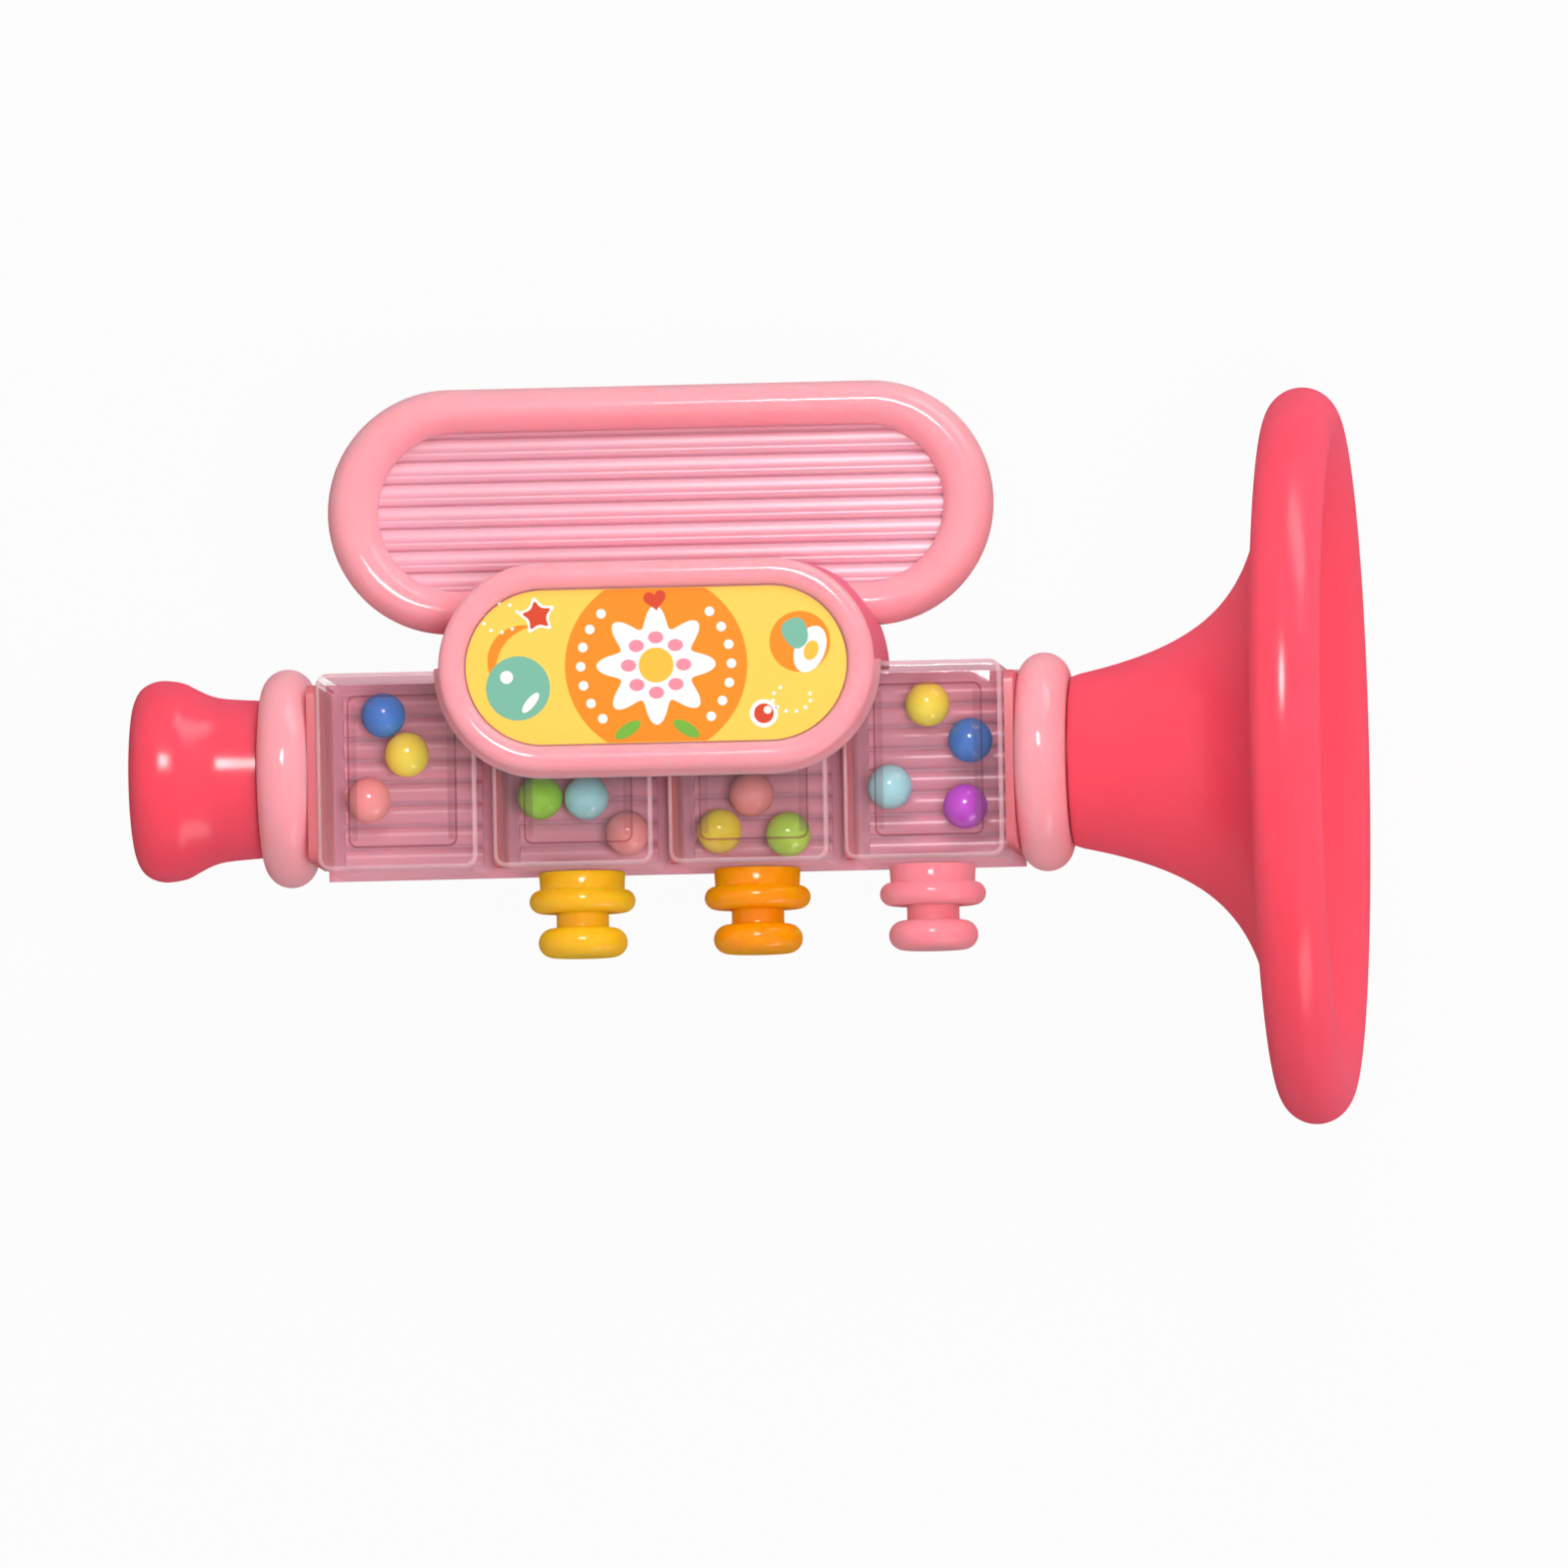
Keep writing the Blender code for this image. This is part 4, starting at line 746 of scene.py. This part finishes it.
def make_valve(name, finish, slot_name):
    """Collar with a rounded flange, and a button with a stem and a round-edged disc."""
    origin = valve_origin(name)
    top, height, roll = 7.5 * MM, 3.4 * MM, 2.05 * MM
    flange, collar_radius, stem, bore = 9.4 * MM, 7.65 * MM, 4.65 * MM, 5.9 * MM
    round_edge = arc((height + roll, flange - roll), roll, 158, 0, 24)
    collar = np.concatenate([
        [(FIT_GAP, bore), (FIT_GAP, collar_radius - 0.3 * MM), (FIT_GAP + 0.3 * MM, collar_radius)],
        [(height, collar_radius - 0.15 * MM)], round_edge,
        fillet([(top, stem + 1.0 * MM), (top, stem + FIT_GAP), (top - 1.5 * MM, stem + FIT_GAP)],
               0.3 * MM), [(top - 1.5 * MM, bore)]])
    skin(f"collar_{name}", spun(collar, origin, "-Y", 96), finish, rows_join=True,
         stands_for=(f"valve_collar_{name}",), slot=slot_name, smooth=50)
    foot_top = top - 1.5 * MM - FIT_GAP
    foot_low = foot_top - 1.2 * MM
    disc_low, thickness, disc = top + 2.7 * MM, 5.2 * MM, 7.9 * MM
    roll = thickness / 2
    button = np.concatenate([
        [(foot_low - 0.6 * MM, 0), (foot_low - 0.6 * MM, 3.3 * MM), (foot_low, 3.3 * MM),
         (foot_low, bore - FIT_GAP), (foot_top, bore - FIT_GAP), (foot_top, stem)],
        fillet([(foot_top + 0.5 * MM, stem), (disc_low, stem), (disc_low, disc - roll)], 0.4 * MM),
        arc((disc_low + roll, disc - roll), roll, 180, 0, 32)[1:],
        [(disc_low + thickness, 0)]])
    skin(f"button_{name}", spun(button, origin, "-Y", 96), finish, body=f"button_{name}",
         stands_for=(f"valve_button_{name}",), slot=slot_name, smooth=50)


def make_spring(name):
    """Return spring: a round wire swept along a helix about the valve's axis."""
    low, high = span(f"valve_spring_{name}")
    middle = (low + high) / 2
    wire, turns = 0.28 * MM, 2.5
    t = np.linspace(0, 1, 121)
    radius = (high[0] - low[0]) / 2 - wire
    angle = turns * math.tau * t
    path = np.stack([middle[0] + radius * np.cos(angle),
                     high[1] - wire - (high[1] - low[1] - 2 * wire) * t,
                     middle[2] + radius * np.sin(angle)], axis=1)
    across = np.stack([np.cos(angle), np.zeros_like(t), np.sin(angle)], axis=1)
    swing = np.linspace(0, math.tau, 10, endpoint=False)
    grid = (path[:, None] + wire * np.cos(swing)[None, :, None] * across[:, None]
            + wire * np.sin(swing)[None, :, None] * np.array([0, 1, 0]))
    made = skin(f"spring_{name}", grid, STEEL, stands_for=(f"valve_spring_{name}",), slot="steel")
    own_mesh(made)


# Beads

def make_bead(node_name):
    """Ball with the faint raised line that the halves of its mould leave."""
    low, high = span(node_name)
    middle, radius = (low + high) / 2, (high[2] - low[2]) / 2
    tilt = np.linspace(-90, 90, 49)
    rad = np.radians(tilt)
    swell = 1 - 0.004 + 0.004 * np.exp(-(tilt / 2.0) ** 2)
    profile = np.stack([radius * swell * np.sin(rad), radius * swell * np.cos(rad)], axis=1)
    profile[0, 1] = profile[-1, 1] = 0
    colour = node_name.split("_", 2)[2]
    skin(f"ball_{node_name[5:]}", spun(profile, middle, "Z", 72), BEADS[colour], body=node_name,
         stands_for=(node_name,), slot=f"bead_{colour}", caps=False, smooth=60)


# Label and its printed motifs

STICKER_LOW, STICKER_HIGH = span("badge_sticker")


def make_label():
    """Label film in the badge's recess."""
    radius = (STICKER_HIGH[1] - STICKER_LOW[1]) / 2
    turns = np.linspace(-90, 90, 65)
    rows = [lifted(long_oval(BADGE_STRAIGHT, radius, BADGE_MIDDLE, turns), level)
            for level in (STICKER_LOW[2], STICKER_HIGH[2])]
    skin("picture_label", rows, printed_film("yellow label print", "#F6CD52"),
         stands_for=("badge_sticker",), slot="label")


def ink(name, outlines, layer, finish):
    """Printed motifs of one ink: flat outlines on the label, raised by a hair per layer."""
    level = STICKER_HIGH[2] + 0.02 * MM * layer
    grids = []
    for outline in outlines:
        flat = np.asarray(outline, float) * MM + BADGE_MIDDLE[:2]
        grids.append([lifted(flat, level - 0.015 * MM), lifted(flat, level)])
    joined(name, grids, finish, slot="label", smooth=30)


def placed(points, x, y, tilt):
    """Points turned by a tilt in degrees, then moved to a place."""
    c, s = math.cos(math.radians(tilt)), math.sin(math.radians(tilt))
    return points @ np.array([[c, s], [-s, c]]) + np.array([x, y])


def disc(x, y, radius, squash=1.0, tilt=0.0, steps=60):
    """Ellipse about a point in millimetres."""
    t = np.radians(np.linspace(0, 360, steps, endpoint=False))
    points = np.stack([radius * np.cos(t), squash * radius * np.sin(t)], axis=1)
    return placed(points, x, y, tilt)


def softened(points, rounds=3):
    """Cut the corners of a closed outline again and again until it is round."""
    points = np.asarray(points, float)
    for _ in range(rounds):
        after = np.roll(points, -1, axis=0)
        points = np.stack([0.75 * points + 0.25 * after, 0.25 * points + 0.75 * after],
                          axis=1).reshape(-1, 2)
    return points


def star(x, y, radius, tilt):
    """Five-pointed star with soft tips."""
    t = np.radians(tilt + np.arange(10) * 36)
    reach = radius * np.where(np.arange(10) % 2, 0.52, 1.12)
    return softened(np.stack([x + reach * np.cos(t), y + reach * np.sin(t)], axis=1))


def heart(x, y, size, tilt):
    """Heart: 16 sin(t)^3 across, 13 cos(t) - 5 cos(2t) - 2 cos(3t) - cos(4t) up."""
    t = np.linspace(0, math.tau, 60, endpoint=False)
    points = np.stack([16 * np.sin(t) ** 3, 13 * np.cos(t) - 5 * np.cos(2 * t)
                       - 2 * np.cos(3 * t) - np.cos(4 * t)], axis=1) * size / 32
    return placed(points, x, y, tilt)


def crescent(x, y, radius, shift, tilt):
    """Moon: an outer half turn and a flatter inner one, shifted along the tilt."""
    turn = 78                                     # degrees to each side of the tilt
    outer = arc((0, 0), radius, -turn, turn, 40)
    half = math.degrees(math.atan2(radius * math.sin(math.radians(turn)),
                                   radius * math.cos(math.radians(turn)) + shift))
    inner = arc((-shift, 0), np.hypot(*(outer[-1] - np.array([-shift, 0]))), half, -half, 40)
    points = np.concatenate([outer, inner[1:-1]])
    return placed(points, x, y, tilt)


def make_print():
    """Printed picture: a daisy with leaves and a heart on an orange disc, and beside it a disc
    with pale ovals, a ball before a crescent, a star, a ringed dot and strings of bubbles."""
    white = printed_film("white ink", "#F7F6F4", 0.005)
    orange = printed_film("orange ink", "#EE8A00")
    teal = printed_film("teal ink", "#70B69E")
    red = printed_film("red ink", "#CC3E16")
    rose = printed_film("rose ink", "#E68A9E")
    green = printed_film("green ink", "#6CB034")
    gold = printed_film("gold ink", "#F2BC38")
    reach = (STICKER_HIGH[1] - STICKER_LOW[1]) / 2 / MM - 0.1
    ring = disc(0.0, 0, 16.2, steps=120)
    ring[:, 1] = np.clip(ring[:, 1], -reach, reach)
    ink("print_orange", [ring, disc(25.6, 3.6, 5.4), crescent(-23.6, 1.2, 6.4, 3.4, 150)], 1,
        orange)
    petal = np.linspace(0, math.tau, 160, endpoint=False)
    bloom = 10.6 * (0.82 + 0.18 * np.cos(8 * petal))
    daisy = np.stack([bloom * np.cos(petal), bloom * np.sin(petal)], axis=1)
    strings = [disc(side * 13.4 * math.cos(t), 13.4 * math.sin(t), 0.85)
               for side in (-1, 1) for t in np.radians(np.linspace(-44, 44, 7))]
    bubbles = [disc(-27.5 + 3.2 * math.cos(t), 9.0 + 2.6 * math.sin(t), 0.32, steps=16)
               for t in np.linspace(0.4, 5.4, 9)]
    bubbles += [disc(24.0 + 3.4 * math.cos(t), -6.4 + 2.4 * math.sin(t), 0.32, steps=16)
                for t in np.linspace(2.2, 6.6, 9)]
    ink("print_white", [daisy, star(-21.0, 9.2, 3.5, 100), disc(27.4, 2.2, 4.3, 0.62, 68),
                        disc(19.0, -9.0, 2.5)] + strings + bubbles, 2, white)
    ink("print_teal", [disc(-24.6, -3.6, 5.7), softened([(21.4, 6.4), (26.0, 8.6), (27.6, 3.8),
                                                         (24.6, 1.6)], 2)], 3, teal)
    ink("print_red", [star(-21.0, 9.2, 2.7, 100), disc(19.0, -9.0, 1.75), heart(0, 11.6, 4.0, 8)],
        3, red)
    ink("print_rose", [disc(4.9 * math.cos(t), 4.9 * math.sin(t), 1.35, 0.8)
                       for t in np.linspace(0, math.tau, 8, endpoint=False)], 3, rose)
    ink("print_gold", [disc(0, 0, 3.1), disc(27.6, 2.0, 1.8, 0.7, 68)], 4, gold)
    ink("print_green", [disc(-5.2, -11.4, 2.6, 0.42, 32), disc(5.2, -11.4, 2.6, 0.42, -32)], 3,
        green)
    ink("print_gleam", [disc(-26.6, -1.6, 1.15), disc(-22.4, -6.2, 2.2, 0.36, 50),
                        disc(19.7, -8.4, 0.7)], 5, white)


def make_small_fittings():
    """Screws, reed and tongue keep their solids and get their finish."""
    for name, finish in (("housing_screw_1", STEEL), ("housing_screw_2", STEEL),
                         ("reed_tongue", STEEL), ("reed_holder", REED_PLASTIC)):
        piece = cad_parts[name]
        piece.data.materials.clear()
        piece.data.materials.append(finish)


# Floor, light and camera

def seen_share(tree):
    """One for what the camera sees, directly, mirrored or through clear plastic, else nought."""
    path = node(tree, "ShaderNodeLightPath")
    mirrored = node(tree, "ShaderNodeMath", {0: path.outputs["Is Glossy Ray"],
                                             1: path.outputs["Is Transmission Ray"]},
                    operation="MAXIMUM")
    seen = node(tree, "ShaderNodeMath", {0: path.outputs["Is Camera Ray"],
                                         1: mirrored.outputs[0]}, operation="MAXIMUM")
    return seen.outputs[0]


def make_stage():
    """Pale floor that stays white to the camera but keeps a trace of the toy's shadow."""
    mesh = bpy.data.meshes.new("floor")
    reach = 4.0
    mesh.from_pydata([(-reach, -reach, 0), (reach, -reach, 0), (reach, reach, 0),
                      (-reach, reach, 0)], [], [(0, 1, 2, 3)])
    floor = bpy.data.objects.new("floor", mesh)
    bpy.context.scene.collection.objects.link(floor)
    made, tree, out = new_material("matt white floor")
    matt = node(tree, "ShaderNodeBsdfDiffuse")
    matt.inputs["Color"].default_value = (0.40, 0.33, 0.32, 1)
    glow = node(tree, "ShaderNodeEmission", Strength=1.02)
    share = node(tree, "ShaderNodeMath", {0: seen_share(tree)}, operation="MULTIPLY")
    share.inputs[1].default_value = 0.94
    mix = node(tree, "ShaderNodeMixShader", {0: share.outputs[0], 1: matt.outputs[0],
                                             2: glow.outputs[0]})
    tree.links.new(mix.outputs[0], out.inputs["Surface"])
    mesh.materials.append(made)


def make_world():
    """Even pale surroundings: white to the camera, dimmer as a light, so that edges stay deep."""
    world = bpy.data.worlds.new("studio")
    bpy.context.scene.world = world
    world.use_nodes = True
    tree = world.node_tree
    tree.nodes.clear()
    out = tree.nodes.new("ShaderNodeOutputWorld")
    level = node(tree, "ShaderNodeMapRange", {"Value": seen_share(tree)})
    level.inputs["To Min"].default_value = 0.33
    level.inputs["To Max"].default_value = 1.0
    tone = node(tree, "ShaderNodeMix", {"Factor": seen_share(tree)}, data_type="RGBA")
    tone.inputs[6].default_value = (1.0, 0.68, 0.65, 1)
    tone.inputs[7].default_value = (1.0, 1.0, 1.0, 1)
    sky = node(tree, "ShaderNodeBackground", {"Strength": level.outputs["Result"],
                                              "Color": tone.outputs[2]})
    tree.links.new(sky.outputs[0], out.inputs["Surface"])


def add_lamp(name, place, size, power, aim, size_y=None, mirrored=True, scattered=True):
    """Area lamp at a place, facing a point. One that isn't mirrored shows in no gloss, and one
    that isn't scattered shows in nothing else."""
    data = bpy.data.lights.new(name, "AREA")
    data.shape = "RECTANGLE"
    data.size, data.size_y, data.energy = size, size_y or size, power
    lamp = bpy.data.objects.new(name, data)
    lamp.location = place
    lamp.visible_glossy = mirrored
    lamp.visible_diffuse = scattered
    lamp.rotation_euler = (Vector(aim) - Vector(place)).to_track_quat("-Z", "Y").to_euler()
    bpy.context.scene.collection.objects.link(lamp)


def make_lights():
    """A soft front light near the camera, a high one for the fall from top to bottom, three weak
    fills for the underside, the rear and the bell's mouth, and three reflectors that show in the
    gloss only: a small one above for the glints, and two on the right for streaks and patches."""
    aim = (0, 0, AXIS[2])
    add_lamp("front", (0.34, -0.08, 1.48), 0.50, 10.8, aim, mirrored=False)
    add_lamp("high", (0.12, 0.55, 0.62), 0.40, 2.8, aim, mirrored=False)
    add_lamp("low_fill", (0.20, -1.00, 0.80), 0.70, 2.3, aim, mirrored=False)
    add_lamp("rear_fill", (-0.95, 0.05, 0.70), 0.60, 0.6, aim, mirrored=False)
    add_lamp("mouth_fill", (0.80, 0.02, 0.20), 0.28, 1.5, (0.11, 0, 0.05), mirrored=False)
    add_lamp("glint", (0.04, 0.42, 1.20), 0.26, 14.0, aim, scattered=False)
    add_lamp("upper_box", (0.62, 0.90, 0.30), 0.90, 7.0, aim, size_y=0.40, scattered=False)
    add_lamp("lower_box", (0.62, -0.95, 0.26), 0.60, 3.5, aim, size_y=0.40, scattered=False)


def make_camera():
    """Long lens almost straight above the picture side, turned a little to the bell and to the
    buttons, and rolled so that the toy's axis rises to the right."""
    pixels, frame_pixels = 5.64 / MM, 1569
    middle_pixel = (668.3, 770.9)                 # where the middle of the row is seen
    roll_angle = math.radians(1.0)
    towards = Vector((0.0855, -0.061, 0.9945)).normalized()
    anchor = Vector((ROW_MIDDLE, AXIS[1], AXIS[2]))
    right = Vector((0, 1, 0)).cross(towards).normalized()
    up = towards.cross(right).normalized()
    roll = Matrix.Rotation(-roll_angle, 3, towards)
    right, up = roll @ right, roll @ up
    target = anchor + right * (frame_pixels / 2 - middle_pixel[0]) / pixels
    target -= up * (frame_pixels / 2 - middle_pixel[1]) / pixels
    distance = 8.0
    data = bpy.data.cameras.new("camera")
    data.lens = data.sensor_width * distance / (frame_pixels / pixels)
    data.clip_end = 20
    camera = bpy.data.objects.new("camera", data)
    camera.matrix_world = Matrix.Translation(target + towards * distance) @ Matrix(
        (right, up, towards)).transposed().to_4x4()
    bpy.context.scene.collection.objects.link(camera)
    bpy.context.scene.camera = camera


make_bell()
make_ring("front_ring", "bell_ring")
make_ring("rear_ring", "mouthpiece_ring")
make_mouthpiece()
for chamber in range(1, 5):
    make_window(chamber)
make_back_shell()
make_loop()
make_ribbed_panel()
make_badge_housing()
make_bridge_cover()
for valve, valve_finish, valve_slot in (("yellow", YELLOW, "yellow_plastic"),
                                        ("orange", ORANGE, "orange_plastic"),
                                        ("pink", ROSE, "rose_plastic")):
    make_valve(valve, valve_finish, valve_slot)
    make_spring(valve)
for bead_node in sorted(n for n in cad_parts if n.startswith("bead_")):
    make_bead(bead_node)
make_label()
make_print()
make_small_fittings()
make_stage()
make_world()
make_lights()
make_camera()
bpy.context.scene.view_settings.view_transform = "Standard"
